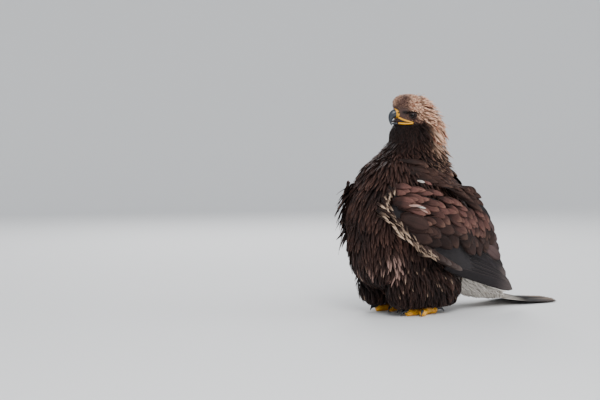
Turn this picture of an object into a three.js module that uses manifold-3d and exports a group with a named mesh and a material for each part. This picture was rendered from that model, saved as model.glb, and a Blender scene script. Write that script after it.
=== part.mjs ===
import * as THREE from "three";
import { mergeVertices } from "three/addons/utils/BufferGeometryUtils.js";
import Module from "manifold-3d";

// A young golden eagle standing at rest with its plumage fluffed and its wings drooped.
// Life size, in millimetres. The bird faces -X, its left side is -Y, and the floor is Z = 0.

const GAP = 0.3;
const REACH = 1000;
const UP = new THREE.Vector3(0, 0, 1);
const SIDES = { left: -1, right: 1 };
const degrees = THREE.MathUtils.degToRad;

// Driving sizes of the trunk, from the crown to the belly. Each level is a rounded section:
// its height, the place of its middle, its half length and half width, and how much its front narrows.
const TRUNK_LEVELS = [
  { z: 62, x: 0, length: 56, width: 44, egg: 0 },
  { z: 78, x: -4, length: 110, width: 78, egg: 0 },
  { z: 100, x: -5, length: 141, width: 100, egg: 0 },
  { z: 150, x: -4, length: 162, width: 116, egg: 0 },
  { z: 200, x: -2, length: 166, width: 122, egg: 0 },
  { z: 246, x: -5, length: 167, width: 127, egg: 0 },
  { z: 286, x: -6, length: 158, width: 126, egg: 0 },
  { z: 320, x: -6, length: 141, width: 120, egg: 0 },
  { z: 345, x: -8, length: 126, width: 110, egg: 0 },
  { z: 370, x: -8, length: 108, width: 97, egg: 0 },
  { z: 400, x: 8, length: 87, width: 82, egg: 0 },
  { z: 430, x: 20, length: 73, width: 67, egg: 0 },
  { z: 460, x: 24, length: 70, width: 57, egg: 0.1 },
  { z: 480, x: 26, length: 62, width: 47, egg: 0.3 },
  { z: 506, x: 18, length: 54, width: 43, egg: 0.36 },
  { z: 526, x: 8, length: 50, width: 39, egg: 0.22 },
  { z: 542, x: 1, length: 39, width: 30, egg: 0.1 },
  { z: 553, x: -2, length: 18, width: 14, egg: 0 },
];
const TRUNK_ROUNDNESS = 2.25;
const TRUNK_SIDES = 24;
const TRUNK_RINGS = 19;
const HEAD_BASE = 474;
const NECK_BASE = 392;
const HEAD_TURN = degrees(-12);
const TURN_FROM = 390;
const TURN_TO = 490;
const NECK_AXIS = new THREE.Vector3(34, 0, 0);

// Sizes of the head's parts, measured forward of, left of and above the middle of the braincase.
const HEAD_MIDDLE = new THREE.Vector3(31, 0, 509);
const EYE_RADIUS = 9.5;
const EYE_FACETS = { around: 12, down: 8 };
const EYE = { z: 499.5, angle: degrees(112), depth: 4.5 };
const LID = { ring: 8.4, thick: 1.7, sides: 4, steps: 12 };
// The bony ridge that shades each eye: angle ahead of the eye, height above it, and share of the thickness.
const BROW_SPINE = [
  [degrees(24), 9, 0.5],
  [degrees(12), 11.5, 0.85],
  [0, 12.5, 1],
  [degrees(-14), 11.5, 0.8],
  [degrees(-26), 8.5, 0.4],
];
const BROW = { thick: 6.5, raised: 0.3, flat: 0.6, sides: 5 };
// Each bill section: forward and up of its top edge, the same of its bottom edge, and its half width.
const CERE_SECTIONS = [
  [38, 7, 36, -17, 14.5],
  [50, 8.5, 47, -16, 13],
  [60, 9.5, 57, -15.5, 11.6],
  [69, 8.5, 66.5, -15.5, 10.4],
];
const UPPER_BILL_SECTIONS = [
  [68, 7.9, 65.5, -15.2, 10],
  [75, 5.5, 69.5, -16, 8.8],
  [81.5, -1, 73, -18, 7.1],
  [85, -9, 75, -21.5, 5.2],
  [85.3, -18, 76, -25.5, 3.5],
  [82.5, -27, 77, -29, 2],
];
const HOOK_TIP = [76.5, -34.5];
const LOWER_BILL_SECTIONS = [
  [12, -25, 10, -38, 16],
  [30, -24.5, 28, -37, 13.2],
  [50, -24.5, 48, -36, 10.4],
  [62, -25, 60, -34.5, 8],
  [70, -26.5, 68.5, -32, 5],
];
const LOWER_TIP = [74.5, -29.5];
const BILL_SIDES = 12;

// The folded wing lies in a curved sheet over the flank. Its edges are seen from the side, as x and z.
const WING_FRONT_EDGE = [
  [-128, 310],
  [-142, 284],
  [-144, 248],
  [-124, 203],
  [-88, 168],
  [-46, 139],
  [1, 122],
  [55, 107],
  [160, 84],
  [230, 56],
  [276, 46],
];
const WING_BACK_EDGE = [
  [-112, 324],
  [-8, 300],
  [84, 270],
  [150, 240],
  [176, 200],
  [194, 150],
  [220, 104],
  [256, 66],
  [280, 50],
];
// How far the sheet stands out from the middle plane, by x, and how much it falls in above and below.
const FLANK = [
  [-158, 62],
  [-146, 85],
  [-128, 106],
  [-100, 124],
  [-60, 140],
  [0, 148],
  [60, 144],
  [120, 130],
  [200, 110],
  [270, 90],
  [340, 72],
];
const FLANK_FALL = { most: 14, level: 210, reach: 110, aft: 230, over: 200 };
const WING_THICK = 15;
const WING_TIP_THICK = 3;
const WING_STATIONS = 9;
const WING_CHORD_POINTS = 5;

// The tail slopes from the rump to the floor and flattens there: x and z of its middle line,
// its half width and its thickness.
const TAIL_STATIONS = [
  [128, 112, 36, 84],
  [165, 88, 42, 92],
  [205, 66, 46, 78],
  [245, 46, 52, 50],
  [285, 30, 60, 24],
  [325, 18, 70, 10],
  [375, 9.5, 80, 6],
  [430, 4.6, 90, 4],
  [462, 3, 82, 2.6],
  [476, 2.4, 54, 2.2],
];
const TAIL_CHORD_POINTS = 7;
const TAIL_EDGE = 0.3;

// Feathers and locks are thin strips. Each profile gives the half width along the strip, as shares.
const VANE_THICK = 1.2;
const ROOT_SINK = { depth: 3, share: 0.25 };
const SMALL_STEP = 0.02;
const PROFILES = {
  flight: [
    [0, 0.35],
    [0.35, 0.9],
    [0.8, 0.95],
    [0.95, 0.55],
  ],
  covert: [
    [0, 0.45],
    [0.5, 1],
    [0.86, 0.68],
  ],
  lock: [
    [0, 0.7],
    [0.5, 1],
  ],
};

// The wing's feathers lie in tiers, seen from the side as x and z: a line of roots and a line of tips.
// Then come how many there are, the half width, the lift over the sheet, and the roll that shingles them.
const WING_TIERS = [
  {
    profile: "flight",
    roots: [[-62, 166], [0, 152], [60, 160]],
    tips: [[150, 78], [216, 58], [280, 46], [272, 58], [246, 80]],
    count: 5,
    half: 19,
    lift: -8,
    roll: degrees(5),
  },
  {
    profile: "flight",
    roots: [[-30, 205], [50, 225], [112, 252]],
    tips: [[236, 88], [216, 110], [198, 144], [180, 186], [164, 222]],
    count: 6,
    half: 24,
    lift: -4,
    roll: degrees(5),
  },
  {
    profile: "covert",
    roots: [[-122, 236], [-112, 214], [-96, 196], [-70, 178]],
    tips: [[-88, 172], [-52, 150], [0, 134], [56, 122]],
    count: 4,
    half: 16,
    lift: -3,
    roll: degrees(6),
  },
  {
    profile: "covert",
    roots: [[-92, 214], [-30, 216], [50, 226], [118, 250]],
    tips: [[-58, 148], [6, 152], [72, 142], [140, 142], [176, 160], [172, 210]],
    count: 6,
    half: 24,
    lift: 1,
    roll: degrees(6),
  },
  {
    profile: "covert",
    roots: [[-126, 262], [-60, 266], [30, 264], [100, 264]],
    tips: [[-92, 198], [-20, 196], [50, 188], [120, 196], [166, 222]],
    count: 6,
    half: 21,
    lift: 4,
    roll: degrees(6),
  },
  {
    profile: "covert",
    roots: [[-116, 306], [-66, 312], [-10, 296], [60, 276]],
    tips: [[-116, 246], [-56, 244], [10, 236], [80, 232], [140, 240]],
    count: 5,
    half: 22,
    lift: 7,
    roll: degrees(6),
  },
];
// The solid part of the wing ends short of the feather tips: its share of the chord and of the span.
const WING_CORE = { chord: 0.74, span: 0.8, thinning: 0.7, edge: 0.25 };

// Tail feathers fan out from the rump: how many, half width, and how far each pair lies under the next.
const TAIL_FAN = {
  count: 11,
  rootX: 196,
  tipX: 476,
  roundness: 22,
  half: 19,
  rootSpread: 30,
  tipSpread: 74,
  step: 0.5,
  sag: 26,
};

// Locks hang in rows. Each patch has its heights, its angles round the trunk, rows, locks in a row,
// length, half width, and how far each tip stands off.
const HEAD_LOCKS = [
  {
    from: 546,
    to: 496,
    low: degrees(-88),
    high: degrees(88),
    rows: 3,
    across: 5,
    length: 38,
    half: 10,
    off: 2,
  },
];
const NECK_LOCKS = [
  {
    from: 470,
    to: 404,
    low: degrees(-128),
    high: degrees(128),
    rows: 3,
    across: 8,
    length: 52,
    half: 12,
    off: 4,
  },
  {
    from: 462,
    to: 410,
    low: degrees(140),
    high: degrees(220),
    rows: 2,
    across: 3,
    length: 40,
    half: 10,
    off: 3,
  },
];
const TORSO_LOCKS = [
  {
    from: 380,
    to: 168,
    low: degrees(122),
    high: degrees(238),
    rows: 4,
    across: 6,
    length: 74,
    half: 16,
    off: 6,
  },
  {
    from: 384,
    to: 200,
    low: degrees(-60),
    high: degrees(60),
    rows: 4,
    across: 4,
    length: 74,
    half: 22,
    off: 4,
  },
];
const LEG_LOCKS = {
  from: 112,
  to: 66,
  low: degrees(-20),
  high: degrees(200),
  rows: 3,
  across: 5,
  length: 40,
  half: 13,
  off: 4,
};
const LOCK_SEEDS = { head: 7, neck: 17, torso: 27, leg: 41 };
// How much locks differ in place and size, bend aside and roll, as shares.
const LOCK_WANDER = { size: 0.3, bend: 0.4, roll: 0.6 };

// The yellow lips on each cheek: height on the head, angle from the back, and radius.
const UPPER_LIP = [
  [494.5, degrees(160), 2.3],
  [490.5, degrees(146), 2.2],
  [486, degrees(131), 2],
  [481.5, degrees(115), 1.3],
];
const LOWER_LIP = [
  [480.5, degrees(160), 2.4],
  [479.5, degrees(146), 2.4],
  [479, degrees(131), 2.2],
  [479.5, degrees(116), 1.3],
];
const LIP = { sides: 5, raised: 0.3 };
const NOSTRIL_FACETS = { around: 8, down: 6 };
const NOSTRIL = { forward: 62.5, aside: 10.9, up: -2.5, long: 3.6, wide: 2.2, deep: 3, slant: degrees(35) };

// Each feathered leg hangs from the belly to just above the toes: height, x, half length, half width.
const LEG_LEVELS = [
  [25, 2, 86, 40],
  [38, 0, 105, 48],
  [60, 0, 115, 54],
  [95, 0, 115, 54],
  [130, 2, 104, 48],
  [170, 12, 68, 34],
];
const LEG_ASIDE = 57;
const LEG_SIDES = 18;
const FOOT_TOP = 25 - GAP;

// Toes and talons: bearing from straight ahead, turned outwards, reach, thickness and talon reach.
const TOES = [
  { name: "inner", bearing: degrees(-34), reach: 50, thick: 9, talon: 27 },
  { name: "middle", bearing: degrees(4), reach: 64, thick: 9, talon: 24 },
  { name: "outer", bearing: degrees(42), reach: 52, thick: 8.5, talon: 21 },
  { name: "hind", bearing: degrees(176), reach: 32, thick: 9.5, talon: 31 },
];
// A toe's thickness by share of its length, and how flat it lies.
const TOE_PROFILE = [
  [0.1, 1.25],
  [0.35, 0.9],
  [0.5, 1.05],
  [0.68, 0.84],
  [0.86, 1],
  [1, 0.62],
];
const TOE_FLATNESS = 0.86;
const ANKLE = { x: 6, radius: 15, taper: 0.8, sides: 12, height: 31 };
const TOE_SIDES = 6;
// A talon's root inside the toe, its thickness as a share of the toe's, and the height and arch of its path.
const TALON = {
  sunk: 5,
  share: 0.52,
  taper: 0.7,
  turn: degrees(84),
  low: 2,
  tall: 10,
  fall: 0.8,
  arch: 2.5,
  tip: 1.2,
};
const TALON_SIDES = 6;
const TALON_STEPS = 6;

const COLOURS = {
  gold: { color: 0xb98562, roughness: 0.85, metalness: 0 },
  brown: { color: 0x4a3530, roughness: 0.9, metalness: 0 },
  covert: { color: 0x6a4a40, roughness: 0.85, metalness: 0 },
  quill: { color: 0x2b2628, roughness: 0.7, metalness: 0 },
  horn: { color: 0x23262b, roughness: 0.35, metalness: 0 },
  wax: { color: 0xe0a012, roughness: 0.5, metalness: 0 },
  iris: { color: 0x2a1408, roughness: 0.1, metalness: 0 },
};

const wasm = await Module();
wasm.setup();

// A closed geometry as a solid, with its faces turned outwards.
function solidOf(geometry) {
  const bare = geometry.clone();
  bare.deleteAttribute("normal");
  bare.deleteAttribute("uv");
  const merged = mergeVertices(bare, 1e-3);
  const vertProperties = new Float32Array(merged.attributes.position.array);
  const triVerts = new Uint32Array(merged.index.array);
  const made = new wasm.Manifold(new wasm.Mesh({ numProp: 3, vertProperties, triVerts }));
  if (made.volume() > 0) return made;
  for (let i = 0; i < triVerts.length; i += 3) {
    [triVerts[i + 1], triVerts[i + 2]] = [triVerts[i + 2], triVerts[i + 1]];
  }
  return new wasm.Manifold(new wasm.Mesh({ numProp: 3, vertProperties, triVerts }));
}

// The largest body of a solid, which drops any scrap.
function largest(solid) {
  const bodies = solid.decompose();
  return bodies.reduce((best, body) => (body.volume() > best.volume() ? body : best));
}

function geometryOf(solid) {
  const mesh = solid.getMesh();
  return new THREE.BufferGeometry()
    .setAttribute("position", new THREE.BufferAttribute(mesh.vertProperties, 3))
    .setIndex(new THREE.BufferAttribute(mesh.triVerts, 1));
}

// A skin over closed rings of points, with each end closed by a fan to its middle or to a tip.
function loft(rings, tip) {
  const around = rings[0].length;
  const points = rings.flat();
  const faces = [];
  for (let r = 0; r + 1 < rings.length; r++) {
    for (let i = 0; i < around; i++) {
      const a = r * around + i;
      const b = r * around + ((i + 1) % around);
      faces.push(a, b, b + around, a, b + around, a + around);
    }
  }
  const middle = (ring) =>
    ring.reduce((sum, p) => sum.add(p), new THREE.Vector3()).divideScalar(around);
  const last = (rings.length - 1) * around;
  const first = points.push(middle(rings[0])) - 1;
  const end = points.push(tip ?? middle(rings[rings.length - 1])) - 1;
  for (let i = 0; i < around; i++) {
    const next = (i + 1) % around;
    faces.push(first, next, i, end, last + i, last + next);
  }
  return new THREE.BufferGeometry().setFromPoints(points).setIndex(faces);
}

function box(low, high) {
  const size = new THREE.Vector3().subVectors(high, low);
  const middle = new THREE.Vector3().addVectors(low, high).divideScalar(2);
  return solidOf(new THREE.BoxGeometry(size.x, size.y, size.z).translate(middle.x, middle.y, middle.z));
}

// A flat tapered strip along places, each with its point, its two directions and its half width.
// Both faces are triangulated alike, so that the strip keeps its thickness where it twists.
function strip(places, tip, grow) {
  const corners = [[1, 1], [-1, 1], [-1, -1], [1, -1]];
  const last = places[places.length - 1];
  const blunt = grow > 0 ? [{ ...last, p: tip, half: 0, thick: 0 }] : [];
  const points = [...places, ...blunt].flatMap(({ p, across, out, half, thick = VANE_THICK }) =>
    corners.map(([a, o]) =>
      p
        .clone()
        .addScaledVector(across, a * (half + grow))
        .addScaledVector(out, o * (thick / 2 + grow)),
    ),
  );
  const faces = [0, 3, 2, 0, 2, 1];
  for (let a = 0; a + 4 < points.length; a += 4) {
    const [b, c, d, e, f, g, h] = [1, 2, 3, 4, 5, 6, 7].map((step) => a + step);
    faces.push(a, b, f, a, f, e, d, g, c, d, h, g, b, c, g, b, g, f, a, e, h, a, h, d);
  }
  const e = points.length - 4;
  const onwards = tip.clone().sub(last.p).setLength(grow);
  const end = points.push(tip.clone().add(onwards)) - 1;
  faces.push(e, e + 1, end, e + 1, e + 2, end, e + 2, e + 3, end, e + 3, e, end);
  return solidOf(new THREE.BufferGeometry().setFromPoints(points).setIndex(faces));
}

// A feather or lock along a path over a surface. The path gives a point at a share of its length and
// a lift, and the strip leaves the surface from a sunk root.
function feather({ path, profile, half, lift, off, roll = 0, grow }) {
  const step = SMALL_STEP;
  const sink = (t) => ROOT_SINK.depth * (1 - Math.min(t / ROOT_SINK.share, 1));
  const rise = (t) => lift - sink(t) + off * t * t;
  const places = PROFILES[profile].map(([t, share]) => {
    const p = path(t, rise(t));
    const along = path(t + step, rise(t)).sub(path(t - step, rise(t))).normalize();
    const out = path(t, rise(t) + 1).sub(p);
    const across = new THREE.Vector3().crossVectors(along, out).normalize().applyAxisAngle(along, roll);
    return { p, across, out: new THREE.Vector3().crossVectors(across, along), half: half * share };
  });
  return strip(places, path(1, rise(1)), grow);
}

function fused(solids) {
  return wasm.Manifold.union(solids);
}

// Seeded random numbers, so that each build gives the same bird.
function randomFrom(seed) {
  let state = seed;
  return () => {
    state = (state * 16807) % 2147483647;
    return state / 2147483647;
  };
}

function slice(low, high) {
  return box(new THREE.Vector3(-REACH, -REACH, low), new THREE.Vector3(REACH, REACH, high));
}

// A smooth value between rows of a table, where key says which row values lie along.
function smoothValue(rows, key, value, at) {
  let i = rows.findIndex((row) => row[key] >= at);
  if (i < 0) return rows[rows.length - 1][value];
  if (i === 0) return rows[0][value];
  i -= 1;
  const [a, b] = [rows[i], rows[i + 1]];
  const before = rows[Math.max(i - 1, 0)];
  const after = rows[Math.min(i + 2, rows.length - 1)];
  const span = b[key] - a[key];
  const slopeA = (b[value] - before[value]) / (b[key] - before[key]);
  const slopeB = (after[value] - a[value]) / (after[key] - a[key]);
  const t = (at - a[key]) / span;
  return (
    a[value] * (2 * t ** 3 - 3 * t ** 2 + 1) +
    b[value] * (3 * t ** 2 - 2 * t ** 3) +
    span * slopeA * (t ** 3 - 2 * t ** 2 + t) +
    span * slopeB * (t ** 3 - t ** 2)
  );
}

function curveThrough(points) {
  return new THREE.CatmullRomCurve3(points.map(([x, z]) => new THREE.Vector3(x, 0, z)), false, "centripetal");
}

function turnAt(z) {
  return HEAD_TURN * THREE.MathUtils.smoothstep(z, TURN_FROM, TURN_TO);
}

// A point on the trunk. Angle 0 is the back, a half turn is the breast, and a quarter turn the right side.
function trunkPoint(z, angle, grow = 0) {
  const [x, length, width, egg] = ["x", "length", "width", "egg"].map((key) =>
    smoothValue(TRUNK_LEVELS, "z", key, z),
  );
  const power = 2 / TRUNK_ROUNDNESS;
  const along = Math.sign(Math.cos(angle)) * Math.abs(Math.cos(angle)) ** power;
  const across = Math.sign(Math.sin(angle)) * Math.abs(Math.sin(angle)) ** power;
  return new THREE.Vector3(x + along * (length + grow), across * (width + grow) * (1 + egg * along), z)
    .sub(NECK_AXIS)
    .applyAxisAngle(UP, turnAt(z))
    .add(NECK_AXIS);
}

function trunkNormal(z, angle) {
  const rise = 2;
  const round = trunkPoint(z, angle + SMALL_STEP).sub(trunkPoint(z, angle - SMALL_STEP));
  const up = trunkPoint(z + rise, angle).sub(trunkPoint(z - rise, angle));
  return round.cross(up).normalize();
}

function trunk(grow = 0) {
  const [low, high] = [TRUNK_LEVELS[0].z, TRUNK_LEVELS[TRUNK_LEVELS.length - 1].z];
  const rings = [];
  for (let r = 0; r <= TRUNK_RINGS; r++) {
    const z = THREE.MathUtils.lerp(low, high, r / TRUNK_RINGS);
    const ring = [];
    for (let i = 0; i < TRUNK_SIDES; i++) {
      ring.push(trunkPoint(z, (i / TRUNK_SIDES) * 2 * Math.PI, grow));
    }
    if (r === 0) ring.forEach((p) => (p.z -= grow));
    if (r === TRUNK_RINGS) ring.forEach((p) => (p.z += grow));
    rings.push(ring);
  }
  return solidOf(loft(rings));
}

// Rows of locks over a surface that is given by height, angle and lift. They bend and overlap, and
// each row is set off by half a lock.
function locksOver(surface, patch, seed, grow) {
  const random = randomFrom(seed);
  const wander = () => (random() - 0.5) * LOCK_WANDER.size;
  const locks = [];
  for (let row = 0; row < patch.rows; row++) {
    const z = THREE.MathUtils.lerp(patch.from, patch.to, row / Math.max(patch.rows - 1, 1));
    for (let i = 0; i < patch.across; i++) {
      const place = (i + (row % 2 ? 0.75 : 0.25)) / patch.across;
      const angle = THREE.MathUtils.lerp(patch.low, patch.high, place);
      const start = z + wander() * patch.length;
      const length = patch.length * (1 + wander());
      const drift = wander() * LOCK_WANDER.bend;
      const path = (t, lift) => surface(start - t * length, angle + drift * t * t, lift);
      locks.push(
        feather({
          path,
          profile: "lock",
          half: patch.half * (1 + wander()),
          lift: 1 + random(),
          off: patch.off * (1 + 2 * wander()),
          roll: wander() * LOCK_WANDER.roll,
          grow,
        }),
      );
    }
  }
  return locks;
}

function trunkSurface(z, angle, lift) {
  return trunkPoint(z, angle).addScaledVector(trunkNormal(z, angle), lift);
}

// A point in the head's own directions: forward, to its left, and up from the middle of the braincase.
function headPoint(forward, left, up) {
  return new THREE.Vector3(-forward, -left, up).applyAxisAngle(UP, HEAD_TURN).add(HEAD_MIDDLE);
}

function billRing([topForward, topUp, bottomForward, bottomUp, halfWidth], grow) {
  const tall = Math.hypot(topForward - bottomForward, topUp - bottomUp) / 2;
  const stretch = (tall + grow) / tall;
  const forward = (topForward + bottomForward) / 2;
  const up = (topUp + bottomUp) / 2;
  const ring = [];
  for (let i = 0; i < BILL_SIDES; i++) {
    const angle = (i / BILL_SIDES) * 2 * Math.PI;
    const rise = Math.cos(angle) * stretch;
    ring.push(
      headPoint(
        forward + (rise * (topForward - bottomForward)) / 2,
        Math.sin(angle) * (halfWidth + grow),
        up + (rise * (topUp - bottomUp)) / 2,
      ),
    );
  }
  return ring;
}

function billPart(sections, tip, grow = 0) {
  const rings = sections.map((section) => billRing(section, grow));
  return solidOf(loft(rings, tip && headPoint(tip[0], 0, tip[1])));
}

function eyePlace(side, grow = 0) {
  const angle = side * EYE.angle;
  const out = trunkNormal(EYE.z, angle);
  const middle = trunkPoint(EYE.z, angle).addScaledVector(out, -EYE.depth);
  const ball = new THREE.SphereGeometry(EYE_RADIUS + grow, EYE_FACETS.around, EYE_FACETS.down);
  ball.translate(middle.x, middle.y, middle.z);
  return { out, middle, ball: solidOf(ball) };
}

function lid(side) {
  const { out, middle } = eyePlace(side);
  const rim = Math.sqrt(EYE_RADIUS ** 2 - LID.ring ** 2);
  const ring = new THREE.TorusGeometry(LID.ring, LID.thick, LID.sides, LID.steps);
  ring.applyQuaternion(new THREE.Quaternion().setFromUnitVectors(UP, out));
  const place = middle.addScaledVector(out, rim + LID.thick / 2);
  return solidOf(ring.translate(place.x, place.y, place.z));
}

function brow(side) {
  const rings = BROW_SPINE.map(([ahead, above, share]) => {
    const z = EYE.z + above;
    const angle = side * (EYE.angle + ahead);
    const radius = BROW.thick * share;
    const out = trunkNormal(z, angle);
    const p = trunkPoint(z, angle, radius * BROW.raised);
    return Array.from({ length: BROW.sides }, (_, i) => {
      const turn = (i / BROW.sides) * 2 * Math.PI;
      return p
        .clone()
        .addScaledVector(out, Math.cos(turn) * radius)
        .addScaledVector(UP, Math.sin(turn) * radius * BROW.flat);
    });
  });
  return solidOf(loft(rings));
}

// A yellow lip runs back from the bill over the cheek to the corner of the mouth.
function lip(side, rows) {
  const places = rows.map(([z, angle, r]) => ({ p: trunkSurface(z, side * angle, r * LIP.raised), r }));
  return limb(places, LIP.sides);
}

function nostril(side) {
  const hollow = new THREE.SphereGeometry(1, NOSTRIL_FACETS.around, NOSTRIL_FACETS.down);
  hollow.scale(NOSTRIL.long, NOSTRIL.deep, NOSTRIL.wide).rotateY(NOSTRIL.slant);
  const place = headPoint(NOSTRIL.forward, -side * NOSTRIL.aside, NOSTRIL.up);
  return solidOf(hollow.rotateZ(HEAD_TURN).translate(place.x, place.y, place.z));
}

function flankOut(x, z) {
  const { most, level, reach, aft, over } = FLANK_FALL;
  const front = THREE.MathUtils.clamp((aft - x) / over, 0, 1);
  return smoothValue(FLANK, 0, 1, x) - most * front * ((z - level) / reach) ** 2;
}

// A point of the wing's sheet, lifted outwards from it.
function wingPoint(side, x, z, lift) {
  return new THREE.Vector3(x, side * (flankOut(x, z) + lift), z);
}

function wingCore(side, grow) {
  const front = curveThrough(WING_FRONT_EDGE);
  const back = curveThrough(WING_BACK_EDGE);
  const rings = [];
  for (let s = 0; s <= WING_STATIONS; s++) {
    const share = (s / WING_STATIONS) * WING_CORE.span;
    const from = front.getPointAt(share);
    const to = from.clone().lerp(back.getPointAt(share), WING_CORE.chord);
    const thick = THREE.MathUtils.lerp(WING_THICK, WING_TIP_THICK, share ** WING_CORE.thinning);
    const outer = [];
    const inner = [];
    for (let i = 0; i < WING_CHORD_POINTS; i++) {
      const across = i / (WING_CHORD_POINTS - 1);
      const p = from.clone().lerp(to, across);
      const half = (thick / 2) * Math.max(Math.sin(across * Math.PI) ** 0.5, WING_CORE.edge) + grow;
      outer.push(wingPoint(side, p.x, p.z, half - thick / 2));
      inner.unshift(wingPoint(side, p.x, p.z, -half - thick / 2));
    }
    rings.push([...outer, ...inner]);
  }
  return solidOf(loft(rings));
}

// One tier of a wing's feathers, each from its place on the line of roots to its place on the line of tips.
function wingTier(side, tier, grow) {
  const roots = curveThrough(tier.roots);
  const tips = curveThrough(tier.tips);
  const feathers = [];
  for (let i = 0; i < tier.count; i++) {
    const share = i / (tier.count - 1);
    const root = roots.getPoint(share);
    const tip = tips.getPoint(share);
    const path = (t, raised) => {
      const p = root.clone().lerp(tip, t);
      return wingPoint(side, p.x, p.z, raised);
    };
    const { profile, half, lift, roll } = tier;
    feathers.push(feather({ path, profile, half, lift, off: 1, roll, grow }));
  }
  return feathers;
}

function wing(side, grow = 0) {
  return fused([wingCore(side, grow), ...WING_TIERS.flatMap((tier) => wingTier(side, tier, grow))]);
}

function tailCore() {
  const rings = TAIL_STATIONS.map(([x, z, halfWidth, thick]) => {
    const upper = [];
    const lower = [];
    for (let i = 0; i < TAIL_CHORD_POINTS; i++) {
      const across = (2 * i) / (TAIL_CHORD_POINTS - 1) - 1;
      const half = (thick / 2) * Math.max(Math.sqrt(1 - across ** 2), TAIL_EDGE);
      upper.push(new THREE.Vector3(x, across * halfWidth, z + half));
      lower.unshift(new THREE.Vector3(x, across * halfWidth, z - half));
    }
    return [...upper, ...lower];
  });
  return solidOf(loft(rings));
}

// A long vane of the tail. The outer ones lie lower and further aside, and all flatten onto the floor.
function tailVane(index) {
  const place = (2 * index) / (TAIL_FAN.count - 1) - 1;
  const path = (t, lift) => {
    const x = THREE.MathUtils.lerp(TAIL_FAN.rootX, TAIL_FAN.tipX - TAIL_FAN.roundness * place ** 2, t);
    const aside = place * THREE.MathUtils.lerp(TAIL_FAN.rootSpread, TAIL_FAN.tipSpread, t);
    const fall = TAIL_FAN.sag * place ** 2 * (1 - t) ** 2;
    const z = smoothValue(TAIL_STATIONS, 0, 1, x) - fall + lift;
    return new THREE.Vector3(x, aside, z);
  };
  const lift = (1 - Math.abs(place)) * TAIL_FAN.step * TAIL_FAN.count;
  return feather({ path, profile: "flight", half: TAIL_FAN.half, lift, off: 0, roll: 0, grow: 0 });
}

function tail() {
  const vanes = Array.from({ length: TAIL_FAN.count }, (_, index) => tailVane(index));
  return fused([tailCore(), ...vanes]);
}

// A point on a feathered leg, by height and angle, where angle 0 is behind.
function legPoint(side, z, angle, lift = 0) {
  const [x, length, width] = [1, 2, 3].map((value) => smoothValue(LEG_LEVELS, 0, value, z));
  const y = side * (LEG_ASIDE + Math.sin(angle) * (width + lift));
  return new THREE.Vector3(x + Math.cos(angle) * (length + lift), y, z);
}

function leg(side) {
  const rings = LEG_LEVELS.map(([z]) => {
    const ring = [];
    for (let i = 0; i < LEG_SIDES; i++) {
      ring.push(legPoint(side, z, (i / LEG_SIDES) * 2 * Math.PI));
    }
    return ring;
  });
  const surface = (z, angle, lift) => legPoint(side, z, angle, lift);
  return fused([solidOf(loft(rings)), ...locksOver(surface, LEG_LOCKS, LOCK_SEEDS.leg, 0)]);
}

function toeDirection(side, { bearing }) {
  return new THREE.Vector3(-Math.cos(bearing), side * Math.sin(bearing), 0);
}

// A round limb along a line of places, each with its radius.
function limb(places, sides, tip) {
  const rings = places.map(({ p, r }, k) => {
    const before = places[Math.max(k - 1, 0)].p;
    const after = places[Math.min(k + 1, places.length - 1)].p;
    const along = after.clone().sub(before).normalize();
    const across = new THREE.Vector3().crossVectors(along, UP).normalize();
    const over = new THREE.Vector3().crossVectors(across, along);
    const ring = [];
    for (let i = 0; i < sides; i++) {
      const angle = (i / sides) * 2 * Math.PI;
      ring.push(
        p
          .clone()
          .addScaledVector(across, Math.cos(angle) * r)
          .addScaledVector(over, Math.sin(angle) * r),
      );
    }
    return ring;
  });
  return solidOf(loft(rings, tip));
}

function ankle(side) {
  return new THREE.Vector3(ANKLE.x, side * LEG_ASIDE, 0);
}

// A toe is thick at its root and at its two pads, and rests on its underside.
function toe(side, spec) {
  const along = toeDirection(side, spec);
  const places = TOE_PROFILE.map(([share, swell]) => {
    const r = spec.thick * swell;
    return { p: ankle(side).addScaledVector(along, share * spec.reach).setZ(r * TOE_FLATNESS), r };
  });
  return limb(places, TOE_SIDES);
}

// A talon leaves the toe's end, arches and comes down to just above the floor.
function talon(side, spec, grow = 0) {
  const along = toeDirection(side, spec);
  const root = ankle(side).addScaledVector(along, spec.reach - TALON.sunk);
  const places = Array.from({ length: TALON_STEPS }, (_, i) => {
    const t = i / TALON_STEPS;
    const fall = TALON.tall * Math.cos((t * Math.PI) / 2) ** TALON.fall;
    const height = TALON.low + fall + TALON.arch * Math.sin(t * Math.PI);
    const p = root.clone().addScaledVector(along, spec.talon * Math.sin(t * TALON.turn)).setZ(height);
    return { p, r: spec.thick * TALON.share * (1 - t) ** TALON.taper + grow };
  });
  const tip = root.addScaledVector(along, spec.talon).setZ(TALON.tip);
  return limb(places, TALON_SIDES, tip);
}

function foot(side) {
  const { x, radius, taper, sides, height } = ANKLE;
  const block = new THREE.CylinderGeometry(radius * taper, radius, height, sides);
  block.rotateX(Math.PI / 2).translate(x, side * LEG_ASIDE, FOOT_TOP / 2);
  const whole = TOES.reduce((sum, spec) => sum.add(toe(side, spec)), solidOf(block));
  const trimmed = whole.intersect(slice(0, FOOT_TOP));
  return largest(TOES.reduce((left, spec) => left.subtract(talon(side, spec, GAP)), trimmed));
}

const bird = new THREE.Group();

function add(name, solid, look) {
  const mesh = new THREE.Mesh(geometryOf(solid), new THREE.MeshStandardMaterial(COLOURS[look]));
  mesh.name = name;
  bird.add(mesh);
}

// A stretch of the trunk with its locks, and the same grown by the gap to cut its neighbours with.
function plumed(low, high, patches, seed, grow) {
  const core = trunk(grow).intersect(slice(low - grow, high + grow));
  const locks = patches.flatMap((patch, i) => locksOver(trunkSurface, patch, seed + i, grow));
  return fused([core, ...locks]);
}

// A solid less the rooms of its neighbours, without any scrap that the cuts leave.
function without(solid, rooms) {
  return largest(rooms.reduce((left, room) => left.subtract(room), solid));
}

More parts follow.
